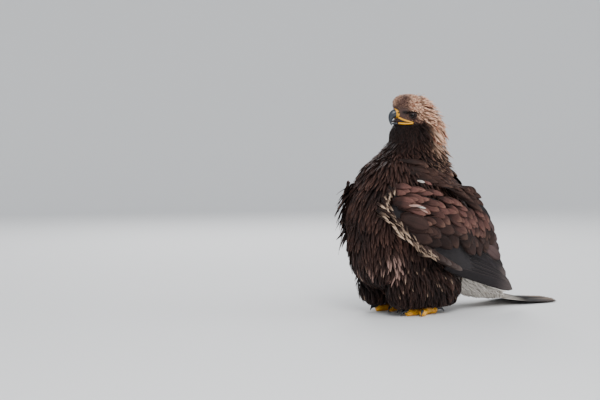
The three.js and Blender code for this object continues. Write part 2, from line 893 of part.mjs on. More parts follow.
const both = Object.values(SIDES);
const plumedHead = (grow) => plumed(HEAD_BASE + GAP, REACH, HEAD_LOCKS, LOCK_SEEDS.head, grow);
const plumedNeck = (grow) => plumed(NECK_BASE + GAP, HEAD_BASE, NECK_LOCKS, LOCK_SEEDS.neck, grow);
const plumedTorso = (grow) => plumed(0, NECK_BASE, TORSO_LOCKS, LOCK_SEEDS.torso, grow);
const eyeRoom = both.map((side) => eyePlace(side, GAP).ball);
const cereRoom = billPart(CERE_SECTIONS, null, GAP);
const upperBillRoom = billPart(UPPER_BILL_SECTIONS, HOOK_TIP, GAP);
const lowerBillRoom = billPart(LOWER_BILL_SECTIONS, LOWER_TIP, GAP);
const wingRoom = both.map((side) => wing(side, GAP));
const torsoCoreRoom = trunk(GAP).intersect(slice(0, NECK_BASE + GAP));
const torsoRoom = plumedTorso(GAP);

// The head gives room to the eyes and the bill, the neck to the head, and the torso to both and the wings.
const lips = both.flatMap((side) => [lip(side, UPPER_LIP), lip(side, LOWER_LIP)]);
const head = fused([plumedHead(0), ...lips, ...both.map(brow), ...both.map(lid)]);
add("head", without(head, [...eyeRoom, cereRoom, upperBillRoom, lowerBillRoom]), "gold");
add("neck", without(plumedNeck(0), [plumedHead(GAP), torsoCoreRoom, lowerBillRoom]), "gold");
add("torso", without(plumedTorso(0), [plumedNeck(GAP), ...wingRoom]), "brown");
add("cere", both.reduce((left, side) => left.subtract(nostril(side)), billPart(CERE_SECTIONS)), "wax");
add("bill_upper", without(billPart(UPPER_BILL_SECTIONS, HOOK_TIP), [cereRoom]), "horn");
add("bill_lower", billPart(LOWER_BILL_SECTIONS, LOWER_TIP), "wax");
add("tail", without(tail().intersect(slice(0, REACH)), [torsoRoom, ...wingRoom]), "quill");

for (const [name, side] of Object.entries(SIDES)) {
  add("eye_" + name, eyePlace(side).ball, "iris");
  add("wing_" + name, without(wing(side), [torsoCoreRoom]), "covert");
  const hanging = leg(side).intersect(slice(FOOT_TOP + GAP, REACH));
  add("leg_" + name, without(hanging, [torsoRoom, ...wingRoom]), "brown");
  add("foot_" + name, foot(side), "wax");
  for (const spec of TOES) add("talon_" + spec.name + "_" + name, talon(side, spec), "horn");
}

// The origin is on the floor, under the middle of the bird's own box.
const middle = new THREE.Box3().setFromObject(bird).getCenter(new THREE.Vector3());
bird.position.set(-middle.x, -middle.y, 0);

export default bird;
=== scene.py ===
import math
from collections import namedtuple

import bpy
import numpy as np
from mathutils import Matrix, Vector
from mathutils.bvhtree import BVHTree

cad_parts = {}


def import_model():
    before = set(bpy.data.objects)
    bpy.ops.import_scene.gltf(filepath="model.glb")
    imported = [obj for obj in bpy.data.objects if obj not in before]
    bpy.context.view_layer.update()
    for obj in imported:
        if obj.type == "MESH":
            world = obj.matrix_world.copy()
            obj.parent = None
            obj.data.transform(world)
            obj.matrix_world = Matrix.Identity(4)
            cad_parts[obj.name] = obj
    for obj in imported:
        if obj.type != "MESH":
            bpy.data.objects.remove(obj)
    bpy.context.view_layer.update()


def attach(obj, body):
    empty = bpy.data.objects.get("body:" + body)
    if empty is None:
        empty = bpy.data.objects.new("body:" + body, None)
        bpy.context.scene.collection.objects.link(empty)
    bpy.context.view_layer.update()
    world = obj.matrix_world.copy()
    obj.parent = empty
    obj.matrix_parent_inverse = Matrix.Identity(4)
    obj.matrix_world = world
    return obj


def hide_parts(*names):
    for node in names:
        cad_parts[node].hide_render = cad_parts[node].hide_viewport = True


# A young golden eagle at rest, with fluffed plumage and drooped wings.
# Shapes are worked out in millimetres with the bird facing -X and its left side at -Y,
# from a point on the floor between its feet, and are moved to the shared frame in metres.

MM = 0.001
BETWEEN_FEET = np.array([-148.469, 0.0, 0.0])
LEFT, RIGHT = -1, 1
SIDE_NAMES = {LEFT: "left", RIGHT: "right"}
BODY = "root"
FLOOR_CLEARANCE = 1.5
FULL_TURN = 2 * np.pi
UP = np.array([0.0, 0.0, 1.0])
# Not quite upright, so that an upright limb has a direction across it too.
NEARLY_UP = UP + 1e-4
SHORTEST_VECTOR = 1e-9
# No limit on one side of a range.
ANY = math.inf


def colour_of(red, green, blue):
    """A screen colour of 0 to 255 as a linear one, by the numbers of the sRGB curve."""
    shares = np.array([red, green, blue]) / 255
    return np.where(shares <= 0.04045, shares / 12.92, ((shares + 0.055) / 1.055) ** 2.4)


# Colours of the plumage.
PALE_GOLD = colour_of(255, 208, 176)
DEEP_GOLD = colour_of(184, 112, 78)
DARK_BROWN = colour_of(52, 36, 32)
BLACK_BROWN = colour_of(26, 18, 17)
WARM_BROWN = colour_of(92, 62, 53)
STREAK_BROWN = colour_of(132, 98, 84)
RED_BROWN = colour_of(98, 65, 59)
GREY_BROWN = colour_of(84, 66, 64)
SLATE = colour_of(36, 31, 33)
SLATE_EDGE = colour_of(108, 96, 92)
CREAM = colour_of(205, 176, 150)
WHITE = colour_of(238, 230, 220)
PINK_WHITE = colour_of(184, 148, 136)
FACE_BROWN = colour_of(126, 84, 76)
FACE_PALE = FACE_BROWN * 0.65 + PALE_GOLD * 0.35
FACE_DARK = FACE_BROWN * 0.45
FACE_FRINGE = FACE_BROWN * 0.7
# Light and dark of the bare parts.
WAX_COLOURS = colour_of(238, 176, 30), colour_of(206, 128, 22)
HORN_COLOURS = colour_of(50, 57, 66), colour_of(16, 18, 21)
# The lining's near-black is partly the mouth's own colour and partly painted shade, in the mouth and the
# nostrils.
LINING_AND_SHADE_COLOURS = colour_of(42, 26, 24), colour_of(14, 10, 10)
IRIS_COLOURS = colour_of(40, 22, 13), colour_of(16, 10, 8)
PUPIL_COLOUR = (0.002, 0.002, 0.002)
EYE_RIM_COLOUR = (0.01, 0.008, 0.008)
SHAFT_COLOUR = (0.012, 0.009, 0.008)

# Levels of the trunk: height, middle, half length, half width, and how much the front narrows.
TRUNK = [
    (62, 0, 56, 44, 0),
    (78, -4, 110, 78, 0),
    (100, -5, 141, 100, 0),
    (150, -4, 162, 116, 0),
    (200, -2, 166, 122, 0),
    (246, -5, 167, 127, 0),
    (286, -6, 158, 126, 0),
    (320, -6, 141, 120, 0),
    (345, -8, 126, 110, 0),
    (370, -8, 108, 97, 0),
    (400, 8, 87, 82, 0),
    (430, 20, 73, 67, 0),
    (460, 24, 70, 57, 0.1),
    (480, 26, 62, 47, 0.3),
    (506, 18, 54, 43, 0.36),
    (526, 8, 50, 39, 0.22),
    (542, 1, 39, 30, 0.1),
    (553, -2, 18, 14, 0),
]
ROUNDNESS = 2.25
HEAD_TURN = math.radians(-12)
TURN_FROM, TURN_TO = 390, 490
NECK_AXIS_X = 34
HEAD_MIDDLE = np.array([31.0, 0.0, 509.0])
CHIN_LEVEL = 474
ANGLE_STEP = 0.02
LEVEL_STEP = 2

# How deep the skin lies in the plumage on body and head, and the heights between which that changes.
BODY_COAT, HEAD_COAT = 9.0, 3.5
COAT_CHANGE = (400, 480)
CROWN_DOME = [(0.86, 1.0), (0.66, 1.9), (0.4, 2.5), (0.15, 2.8)]
SKIN_GRID = (70, 72)
VOXEL = 3.2
SMOOTHING = 3

# Levels of a feathered leg: height, middle, half length and half width.
LEG = [
    (25, 2, 86, 40),
    (38, 0, 105, 48),
    (60, 0, 115, 54),
    (95, 0, 115, 54),
    (130, 2, 104, 48),
    (170, 12, 68, 34),
]
LEG_ASIDE = 57
LEG_SKIN = (27, 165)
LEG_GRID = (24, 48)
LEG_INSET = BODY_COAT * 0.8

EYE_RADIUS = 9.5
EYE_LEVEL = 499.5
EYE_ANGLE = math.radians(112)
EYE_DEPTH = 4.5
# The brow over each eye: degrees behind the eye's middle, height over it, and radius.
BROW_SPINE = [(24, 9, 2.8), (12, 11.5, 5.2), (0, 12.8, 6.2), (-14, 11.8, 5), (-26, 8.5, 2.4)]
BROW_INSET = HEAD_COAT * 0.6
BROW_SIDES = 10
BROW_FLAT = 0.6

# The bill in the head's directions: forward and up of its top edge, of its bottom edge, half width.
CERE = [
    (38, 7, 36, -17, 14.5),
    (50, 8.5, 47, -16, 13),
    (60, 9.5, 57, -15.5, 11.6),
    (69, 8.5, 66.5, -15.5, 10.4),
]
UPPER_BILL = [
    (67, 7.9, 64.5, -15.2, 10.1),
    (75, 5.5, 69.5, -16, 8.8),
    (81.5, -1, 73, -18, 7.1),
    (85, -9, 75, -21.5, 5.2),
    (85.3, -18, 76, -25.5, 3.5),
    (82.5, -27, 77, -29, 2),
]
HOOK_TIP = (76.5, -34.5)
LOWER_BILL = [
    (12, -25, 10, -38, 16),
    (30, -24.5, 28, -37, 13.2),
    (50, -24.5, 48, -36, 10.4),
    (62, -25, 60, -34.5, 8),
    (70, -26.5, 68.5, -32, 5),
]
LOWER_TIP = (76.5, -30)

# The lips on each cheek: height, angle from the back, and radius.
UPPER_LIP = [(494.5, 160, 2.3), (490.5, 146, 2.2), (486, 131, 2.0), (481.5, 115, 1.3)]
LOWER_LIP = [(480.5, 160, 2.4), (479.5, 146, 2.4), (479, 131, 2.2), (479.5, 116, 1.3)]

# How far the folded wing's sheet stands out from the middle plane, by x.
FLANK = [
    (-158, 62),
    (-146, 85),
    (-128, 106),
    (-100, 124),
    (-60, 140),
    (0, 148),
    (60, 144),
    (120, 130),
    (200, 110),
    (270, 90),
    (340, 72),
]
# The sheet falls inwards above and below a level, most at the front.
FLANK_FALL, FLANK_LEVEL, FLANK_REACH = 14, 210, 110
FLANK_AFT, FLANK_OVER = 230, 200

# The tail's middle line and its half width and thickness, by x.
TAIL = [
    (128, 112, 36, 84),
    (165, 88, 42, 92),
    (205, 66, 46, 78),
    (245, 46, 52, 50),
    (285, 30, 60, 24),
    (325, 18, 70, 10),
    (375, 9.5, 80, 6),
    (430, 4.6, 90, 4),
    (462, 3, 82, 2.6),
    (476, 2.4, 54, 2.2),
]
TAIL_END = 476
RUMP_ROWS = 5
RUMP_AROUND = 24
RUMP_AHEAD = 10
RUMP_INSET = 5


# Surfaces of the body, the wings and the tail.


def smooth(rows, column, at):
    """A smooth value between rows of a table, read along its first column."""
    table = np.array(rows, float)
    keys, values = table[:, 0], table[:, column]
    before = np.maximum(np.arange(len(keys)) - 1, 0)
    after = np.minimum(np.arange(len(keys)) + 1, len(keys) - 1)
    slopes = (values[after] - values[before]) / (keys[after] - keys[before])
    at = np.clip(np.asarray(at, float), keys[0], keys[-1])
    i = np.clip(np.searchsorted(keys, at) - 1, 0, len(keys) - 2)
    span = keys[i + 1] - keys[i]
    t = (at - keys[i]) / span
    return (
        values[i] * (2 * t**3 - 3 * t**2 + 1)
        + values[i + 1] * (3 * t**2 - 2 * t**3)
        + span * slopes[i] * (t**3 - 2 * t**2 + t)
        + span * slopes[i + 1] * (t**3 - t**2)
    )


def smoothstep(start, end, value):
    """A soft share that is 0 at the start and 1 at the end, which may lie below the start."""
    share = np.clip((np.asarray(value, float) - start) / (end - start), 0, 1)
    return share * share * (3 - 2 * share)


def unit(vectors):
    return vectors / np.maximum(np.linalg.norm(vectors, axis=-1, keepdims=True), SHORTEST_VECTOR)


def turn_angles(count):
    """Angles that share a full turn evenly."""
    return np.linspace(0, FULL_TURN, count, endpoint=False)


def spun(x, y, angle):
    """Places turned about the upright axis."""
    c, s = np.cos(angle), np.sin(angle)
    return c * x - s * y, s * x + c * y


def turned(points, angle):
    """Points turned about the upright neck axis."""
    x, y = spun(points[..., 0] - NECK_AXIS_X, points[..., 1], angle)
    return np.stack([x + NECK_AXIS_X, y, points[..., 2]], -1)


def trunk_place(z, angle, inset=0.0):
    """Points on the trunk. Angle 0 is the back, pi the breast, and half pi the right side."""
    z, angle = np.broadcast_arrays(np.asarray(z, float), np.asarray(angle, float))
    x, length, width, egg = (smooth(TRUNK, column, z) for column in range(1, 5))
    power = 2 / ROUNDNESS
    along, across = (np.sign(part) * np.abs(part) ** power for part in (np.cos(angle), np.sin(angle)))
    flat = np.stack([x + along * (length - inset), across * (width - inset) * (1 + egg * along), z], -1)
    return turned(flat, HEAD_TURN * smoothstep(TURN_FROM, TURN_TO, z))


def trunk_out(z, angle):
    """Directions that stand out from the trunk."""
    round_step = trunk_place(z, angle + ANGLE_STEP) - trunk_place(z, angle - ANGLE_STEP)
    up_step = trunk_place(z + LEVEL_STEP, angle) - trunk_place(z - LEVEL_STEP, angle)
    return unit(np.cross(round_step, up_step))


def trunk_angle(points):
    """The angle round the trunk at each point."""
    level = points[:, 2]
    straight = turned(points, -HEAD_TURN * smoothstep(TURN_FROM, TURN_TO, level))
    return np.arctan2(straight[:, 1], straight[:, 0] - smooth(TRUNK, 1, level))


def head_point(forward, left, up):
    """Points in the head's own directions."""
    forward, left, up = np.broadcast_arrays(np.asarray(forward, float), np.asarray(left, float), up)
    x, y = spun(-forward, -left, HEAD_TURN)
    return np.stack([x, y, up], -1) + HEAD_MIDDLE


def head_directions(points):
    """How far each point is forward of, left of and above the middle of the braincase."""
    x, y, up = np.moveaxis(points - HEAD_MIDDLE, -1, 0)
    x, y = spun(x, y, -HEAD_TURN)
    return -x, -y, up


def leg_place(side, z, angle, inset):
    x, length, width = (smooth(LEG, column, z) for column in range(1, 4))
    y = side * (LEG_ASIDE + np.sin(angle) * (width - inset))
    return np.stack([x + np.cos(angle) * (length - inset), y, z], -1)


def flank_out(x, z):
    front = np.clip((FLANK_AFT - x) / FLANK_OVER, 0, 1)
    return smooth(FLANK, 1, x) - FLANK_FALL * front * ((z - FLANK_LEVEL) / FLANK_REACH) ** 2


def wing_place(side, x, z, lift):
    """Points on a folded wing's sheet, lifted outwards."""
    x, z, lift = np.broadcast_arrays(x, z, lift)
    return np.stack([x, side * (flank_out(x, z) + lift), z], -1)


def curve_through(points, shares):
    """Places along a smooth line through points, for a number of them or for shares of the way."""
    shares = np.linspace(0, 1, shares) if np.isscalar(shares) else shares
    points = np.array(points, float)
    keys = np.linspace(0, 1, len(points))
    columns = [smooth(np.column_stack([keys, column]), 1, shares) for column in points.T]
    return np.stack(columns, -1)


def cheek_line(side, rows, inset=0.0):
    """Places on a cheek for rows that start with a height and an angle."""
    z, angle = np.array(rows)[:, :2].T
    return trunk_place(z, side * np.radians(angle), inset)


def eye_middle(side):
    """The middle of an eyeball, and the direction out of the head there."""
    z, angle = np.array([EYE_LEVEL]), np.array([side * EYE_ANGLE])
    out = trunk_out(z, angle)
    return (trunk_place(z, angle) - out * EYE_DEPTH)[0], out[0]


EYES = {side: eye_middle(side) for side in (LEFT, RIGHT)}
EYE_FORWARD = head_directions(EYES[LEFT][0])[0]


# Meshes.


def mesh_of(name, points, faces):
    """A smooth mesh in the shared frame. Faces is a list of arrays, each of faces with as many corners."""
    mesh = bpy.data.meshes.new(name)
    mesh.vertices.add(len(points))
    mesh.vertices.foreach_set("co", ((points + BETWEEN_FEET) * MM).ravel())
    loops = np.concatenate([part.ravel() for part in faces])
    sizes = np.concatenate([np.full(len(part), part.shape[1]) for part in faces])
    mesh.loops.add(len(loops))
    mesh.loops.foreach_set("vertex_index", loops)
    mesh.polygons.add(len(sizes))
    mesh.polygons.foreach_set("loop_start", np.concatenate([[0], np.cumsum(sizes)[:-1]]))
    mesh.update(calc_edges=True)
    mesh.validate()
    mesh.shade_smooth()
    return mesh


def add_object(name, data):
    added = bpy.data.objects.new(name, data)
    bpy.context.scene.collection.objects.link(added)
    return added


def add_piece(name, mesh, material, slot, *nodes):
    """A piece that rides on the bird, and stands for the named nodes."""
    piece = add_object(name, mesh)
    mesh.materials.clear()
    mesh.materials.append(material)
    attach(piece, BODY)
    if nodes:
        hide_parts(*nodes)


def add_solid(name, shell, material, slot, *nodes):
    """A piece made from the points and faces of a shell."""
    add_piece(name, mesh_of(name, *shell), material, slot, *nodes)


def ring_faces(rings, around):
    """Quads between rings of as many points, numbered ring by ring."""
    r, i = np.meshgrid(np.arange(rings - 1), np.arange(around), indexing="ij")
    a, b = r * around + i, r * around + (i + 1) % around
    return np.stack([a, b, b + around, a + around], -1).reshape(-1, 4)


def end_faces(rings, around):
    """One face on the first ring and one on the last."""
    return np.array([np.arange(around)[::-1], np.arange(around) + (rings - 1) * around])


def loft(rings):
    """Points and faces of a closed skin over rings, each end closed by one face."""
    rings = np.asarray(rings, float)
    shape = rings.shape[:2]
    return rings.reshape(-1, 3), [ring_faces(*shape), end_faces(*shape)]


def inside_out(points, faces):
    return points, [part[:, ::-1] for part in faces]


def joined(shells):
    """One set of points and faces from several."""
    points, faces, start = [], [], 0
    for shell_points, shell_faces in shells:
        points.append(shell_points)
        faces += [part + start for part in shell_faces]
        start += len(shell_points)
    return np.concatenate(points), faces


def tube(places, radii, sides, flat=1.0):
    """A round limb along places, each with its radius. Flat squeezes it in height."""
    places = np.asarray(places, float)
    along = unit(np.gradient(places, axis=0))
    across = unit(np.cross(along, NEARLY_UP))
    over = np.cross(across, along)
    angles = turn_angles(sides)[None, :, None]
    ring = across[:, None] * np.cos(angles) + over[:, None] * np.sin(angles) * flat
    return loft(places[:, None] + ring * np.asarray(radii, float)[:, None, None])


def set_point_values(mesh, name, values):
    """An attribute of the points: a colour where the values have three columns, or else a number."""
    if np.ndim(values) > 1:
        attribute = mesh.attributes.new(name, "FLOAT_COLOR", "POINT")
        values = np.column_stack([values, np.ones(len(values))])
        attribute.data.foreach_set("color", values.astype(np.float32).ravel())
    else:
        attribute = mesh.attributes.new(name, "FLOAT", "POINT")
        attribute.data.foreach_set("value", np.asarray(values, np.float32))


MAP_EDGE = 0.001


def set_bake_map(mesh, places):
    """The map that the colours are baked through, from one place in the unit square for each point."""
    layer = mesh.uv_layers.new(name="OFBake")
    corner = np.empty(len(mesh.loops), np.int32)
    mesh.loops.foreach_get("vertex_index", corner)
    places = np.clip(places, MAP_EDGE, 1 - MAP_EDGE)
    layer.data.foreach_set("uv", places[corner].astype(np.float32).ravel())


# Feathers. Each is a closed vane with an arched top, along a path over the surface.

# Share of the length and of the half width: a long rounded feather, a short rounded one, a hackle and a lock.
OUTLINES = {
    "flight": [(0, 0.3), (0.12, 0.75), (0.35, 0.97), (0.65, 1), (0.85, 0.86), (0.95, 0.55), (1, 0.08)],
    "covert": [(0, 0.35), (0.2, 0.72), (0.42, 0.95), (0.62, 1), (0.8, 0.82), (0.93, 0.42), (1, 0.06)],
    "hackle": [(0, 0.55), (0.25, 0.95), (0.5, 1), (0.72, 0.68), (0.9, 0.3), (1, 0.03)],
    "lock": [(0, 0.6), (0.3, 1), (0.55, 0.92), (0.78, 0.6), (0.92, 0.28), (1, 0.03)],
}
OUTLINE_SHARES = {name: np.array(rows)[:, 0] for name, rows in OUTLINES.items()}
# A set of feathers: paths, directions that stand out, half widths, and base, tint and fringe colours. On most
# feathers the base is darkened as painted shade under the feathers over it.
Row = namedtuple("Row", "paths outs halves looks")
LOOKS = ("base", "tint", "fringe")
# How a vane is built: the number of points across its top, and how much it arches.
Vane = namedtuple("Vane", "columns arch")
SMALL_VANE, BROAD_VANE, TAIL_VANE = Vane(3, 0.14), Vane(5, 0.07), Vane(7, 0.03)
VANE_THICKNESS = 0.6


def vane_rings(row, outline, vane):
    """Rings of points round closed vanes, and how far across its vane each point of a ring is."""
    widths = (np.array(OUTLINES[outline])[:, 1] * row.halves[:, None])[:, :, None]
    across = unit(np.cross(unit(np.gradient(row.paths, axis=1)), row.outs))
    s = np.linspace(-1, 1, vane.columns)
    inner = 1 - s**2
    outs = row.outs[:, :, None]
    top = row.paths[:, :, None] + across[:, :, None] * (widths * s)[..., None]
    top = top + outs * (vane.arch * widths * inner)[..., None]
    under = slice(vane.columns - 2, 0, -1)
    below = (top - outs * (VANE_THICKNESS * inner)[:, None])[:, :, under]
    return np.concatenate([top, below], axis=2), np.concatenate([s, s[under]])


def vane_shell(row, outline, vane):
    """Points and faces of closed vanes, with each point's share along and across its vane."""
    rings, s = vane_rings(row, outline, vane)
    shape = rings.shape[:3]
    count, stations, around = shape
    start = (np.arange(count) * stations * around)[:, None, None]
    faces = [part[None] + start for part in (ring_faces(stations, around), end_faces(stations, around))]
    t = np.broadcast_to(OUTLINE_SHARES[outline][:, None], shape)
    s = np.broadcast_to(s, shape)
    return rings.reshape(-1, 3), [part.reshape(-1, part.shape[2]) for part in faces], t.ravel(), s.ravel()


def feather_mesh(name, row, outline, vane, cells, patch, rng):
    """A mesh of many feathers, with their colours and their own cells of the bake map."""
    points, faces, t, s = vane_shell(row, outline, vane)
    points[:, 2] = np.maximum(points[:, 2], FLOOR_CLEARANCE)
    mesh = mesh_of(name, points, faces)
    count = len(row.paths)
    each = len(points) // count
    set_point_values(mesh, "along", t)
    set_point_values(mesh, "across", s)
    set_point_values(mesh, "chance", np.repeat(rng.random(count), each))
    for label, colours in zip(LOOKS, row.looks):
        set_point_values(mesh, label, np.repeat(colours, each, axis=0))
    set_bake_map(mesh, np.repeat(cells, each, axis=0) + np.column_stack([s, 2 * t - 1]) * patch)
    return mesh


# The skin under the plumage, and places for feathers on it.


def grid(low, high, counts):
    """Heights and angles of a grid of points."""
    levels, around = counts
    return np.meshgrid(np.linspace(low, high, levels), turn_angles(around), indexing="ij")


def trunk_shell():
    z, angle = grid(TRUNK[0][0] + BODY_COAT, TRUNK[-1][0] - HEAD_COAT, SKIN_GRID)
    depth = BODY_COAT + (HEAD_COAT - BODY_COAT) * smoothstep(*COAT_CHANGE, z)
    rings = trunk_place(z, angle, depth)
    middle = rings[-1].mean(axis=0)
    dome = [middle + (rings[-1] - middle) * size + UP * rise for size, rise in CROWN_DOME]
    return loft(np.concatenate([rings, dome]))


def leg_shell(side):
    shell = loft(leg_place(side, *grid(*LEG_SKIN, LEG_GRID), LEG_INSET))
    return shell if side == RIGHT else inside_out(*shell)


def brow_shell(side):
    degrees, rise, radii = np.array(BROW_SPINE).T
    angle = side * (EYE_ANGLE + np.radians(degrees))
    return tube(trunk_place(EYE_LEVEL + rise, angle, BROW_INSET), radii, BROW_SIDES, BROW_FLAT)


def rump_shell():
    x, z, half_width, thick = np.array(TAIL[:RUMP_ROWS], float).T[:, :, None]
    angles = turn_angles(RUMP_AROUND)
    y = np.sin(angles) * (half_width - RUMP_INSET)
    z = z + np.cos(angles) * (thick / 2 - RUMP_INSET)
    return loft(np.stack([x - RUMP_AHEAD + 0 * y, y, z], -1))


def make_skin():
    """One closed skin for head, neck, body and legs."""
    shells = [trunk_shell(), rump_shell()]
    for side in (LEFT, RIGHT):
        shells += [leg_shell(side), brow_shell(side)]
    skin = add_object("skin", mesh_of("skin", *joined(shells)))
    remesh = skin.modifiers.new("join", "REMESH")
    remesh.mode = "VOXEL"
    remesh.voxel_size = VOXEL * MM
    even = skin.modifiers.new("even", "SMOOTH")
    even.iterations = SMOOTHING
    done = bpy.data.meshes.new_from_object(skin.evaluated_get(bpy.context.evaluated_depsgraph_get()))
    bpy.data.objects.remove(skin)
    done.name = "skin"
    done.shade_smooth()
    return done


def mesh_points(mesh):
    """A mesh's points in millimetres from between the feet."""
    points = np.empty(len(mesh.vertices) * 3, np.float32)
    mesh.vertices.foreach_get("co", points)
    return points.reshape(-1, 3).astype(float) / MM - BETWEEN_FEET


# Random tries for each place that could be filled.
TRIES = 3.2
NEIGHBOURS = [(i, j, k) for i in (-1, 0, 1) for j in (-1, 0, 1) for k in (-1, 0, 1)]


def thinned(points, spacing):
    """Which points to keep so that none is nearer another than the spacing."""
    cells, kept = {}, []
    keys = np.floor(points / spacing).astype(int)
    for index, (key, point) in enumerate(zip(keys.tolist(), points.tolist())):
        near = (cells.get((key[0] + i, key[1] + j, key[2] + k), ()) for i, j, k in NEIGHBOURS)
        if any(math.dist(point, other) < spacing for cell in near for other in cell):
            continue
        cells.setdefault(tuple(key), []).append(point)
        kept.append(index)
    return np.array(kept)


class Ground:
    """The skin as something that feathers can be laid on, in millimetres."""

    def __init__(self, mesh):
        mesh.calc_loop_triangles()
        self.points = mesh_points(mesh)
        numbers = np.empty(len(mesh.loop_triangles) * 3, np.int32)
        mesh.loop_triangles.foreach_get("vertices", numbers)
        self.triangles = numbers.reshape(-1, 3)
        self.tree = BVHTree.FromPolygons(self.points.tolist(), self.triangles.tolist())
        a, b, c = self.corners(slice(None))
        normals = np.cross(b - a, c - a)
        self.areas = np.linalg.norm(normals, axis=1) / 2
        self.outs = unit(normals)
        self.seen = skin_measures((a + b + c) / 3)

    def corners(self, chosen):
        return (self.points[self.triangles[chosen, i]] for i in range(3))

    def scatter(self, wanted, spacing, squeeze, rng):
        """Well spread places on the wanted triangles, about the spacing apart, or more where squeezed."""
        chosen = np.flatnonzero(wanted)
        area = self.areas[chosen].sum()
        tries = int(area / spacing**2 * TRIES)
        picks = rng.choice(chosen, tries, p=self.areas[chosen] / area)
        u, v = rng.random((2, tries))
        fold = u + v > 1
        u, v = np.where(fold, 1 - u, u), np.where(fold, 1 - v, v)
        a, b, c = self.corners(picks)
        points = a + (b - a) * u[:, None] + (c - a) * v[:, None]
        kept = thinned(points * squeeze, spacing)
        return points[kept], self.outs[picks[kept]]

    def lay(self, roots, outs, flows, lengths, shares):
        """Paths over the skin from each root along its flow, and the directions that stand out there."""
        paths = np.empty((len(roots), len(shares), 3))
        tops = np.empty_like(paths)
        for i in range(len(roots)):
            place, out, flow = Vector(roots[i]), Vector(outs[i]), Vector(flows[i])
            last = 0.0
            for k, share in enumerate(shares):
                if k:
                    place, out, _, _ = self.tree.find_nearest(place + flow * (lengths[i] * (share - last)))
                    flow = (flow - out * flow.dot(out)).normalized()
                    last = share
                paths[i, k] = place
                tops[i, k] = out
        return paths, unit(tops)


# Parts of the plumage, told apart by measures of a place.


def measures(points):
    """Measures of each place: in the bird's directions, round the trunk from the back, and on the head."""
    x, y, z = points.T
    forward, left, up = head_directions(points)
    angle = np.abs(trunk_angle(points))
    return {"x": x, "y": y, "z": z, "angle": angle, "forward": forward, "aside": np.abs(left), "up": up}


def near_eye(points):
    """How far each place is from the middle of the nearer eye."""
    return np.minimum(*(np.linalg.norm(points - middle, axis=1) for middle, _ in EYES.values()))


LIP_PLACES = 12


def lip_distance(points):
    gaps = []
    for side in (LEFT, RIGHT):
        for rows in (UPPER_LIP, LOWER_LIP):
            line = curve_through(cheek_line(side, rows), LIP_PLACES)
            gaps.append(np.linalg.norm(points[:, None] - line[None], axis=2).min(axis=1))
    return np.min(gaps, axis=0)


def skin_measures(points):
    return {**measures(points), "eye": near_eye(points), "lip": lip_distance(points)}


# Where each coat grows: the range of each measure.
ZONES = {
    "face": {"z": (CHIN_LEVEL, ANY), "forward": (12, ANY), "eye": (EYE_RADIUS + 0.5, ANY), "lip": (2.4, ANY)},
    "crown": {"z": (CHIN_LEVEL, ANY), "forward": (-ANY, 14), "eye": (EYE_RADIUS, ANY)},
    "nape": {"z": (384, CHIN_LEVEL + 4), "angle": (0, 2.0)},
    "chin": {"z": (432, CHIN_LEVEL + 4), "angle": (1.9, ANY)},
    "throat": {"z": (384, 440), "angle": (2.0, ANY)},
    "breast": {"z": (120, 390), "angle": (1.1, ANY)},
    # The gap behind the right wing's bend, which the photo shows full of plumage.
    "right_flank": {"z": (215, 335), "y": (0, ANY), "angle": (1.95, 2.75)},
    "mantle": {"z": (120, 390), "angle": (0, 1.3)},
    "belly": {"z": (-ANY, 126), "x": (-ANY, 118)},
    "rump": {"z": (-ANY, 150), "x": (112, ANY)},
}
BILL_ZONE = {"forward": (50, ANY), "up": (-17, 8.5)}

# Soft regions: measures, each with the values where the region starts and where it is full.
HARD_EDGE = 0.01
REGIONS = {
    "low_parts": [("z", 230, 110)],
    "lowest_parts": [("z", 210, 120)],
    "back": [("angle", 2.0, 1.3), ("z", 230, 300)],
    "hackles": [("z", 372, 400), ("z", 470, 440), ("angle", 2.1, 1.5)],
    "nape": [("z", 398, 462), ("angle", 1.75, 1.2)],
    "head": [("up", -56, -38)],
    "ridge": [("aside", 14, 5), ("up", 10, 18)],
    "throat": [("z", 425, 455), ("up", -26, -34)],
    "face": [("forward", 4, 16), ("up", -30, -22)],
    "lores": [("forward", 38, 50), ("up", -24, -12), ("up", 16, 6)],
    "rump": [("x", 100, 124), ("z", 176, 150)],
    "tail_base": [("x", 90, 125), ("z", 200, 150)],
    "head_flow": [("z", 455, 490)],
    "body_flow": [("z", 490, 455)],
    "flanks": [("angle", 0.5, 2.6)],
    "bill_root": [("forward", 30, 56), ("z", CHIN_LEVEL - HARD_EDGE, CHIN_LEVEL)],
}


def in_zone(zone, seen):
    """Which places lie in a zone."""
    inside = [(seen[name] > low) & (seen[name] <= high) for name, (low, high) in zone.items()]
    return np.logical_and.reduce(inside)


def share_in(region, seen):
    """How much each place belongs to a soft region."""
    return math.prod(smoothstep(start, end, seen[name]) for name, start, end in REGIONS[region])


# Markings, from a place on the bird to the colours of the feather that grows there.

# Waves that a soft pattern is made of: axis, its rate, bend, the axis that bends it, and that one's rate.
MOTTLE_WAVES = [(0, 1.0, 1.7, 2, 1.0), (1, 1.3, 2.1, 0, 0.7), (2, 1.0, 1.9, 1, 0.9)]
MOTTLE_SPAN = 5
BODY_PATCHES, FACE_PATCHES, FLOW_PATCHES = 17.0, 5.0, 24.0
SPOT_CORE = 0.4

# The gold reaches this far forward, and by steps further or less far up the head.
GOLD_FORWARD = 24
GOLD_STEPS = [(20, -5, 5), (-3, 14, 34), (-32, -14, -28)]
GOLD_SOFTNESS = 7
RIDGE_GOLD = 0.8
# The dark line over the eye: its height and droop, how far it runs, its edge, and where it stays clear.
BROW_RISE, BROW_DROOP = 8, 0.0045
BROW_BEHIND, BROW_AHEAD, BROW_EDGE = (-12, -5), (27, 20), (5, 2)
BROW_ASIDE = 12

# Shares of warm colour: the least, the most, and what is left of it without chance.
WARM_LEAST, WARM_MOST, WARM_STEADY = 0.08, 0.62, 0.35
LOW_DARKENING = 0.45
BODY_FRINGE, BODY_STREAKS, BACK_STREAKS = 1.25, 0.55, 0.45
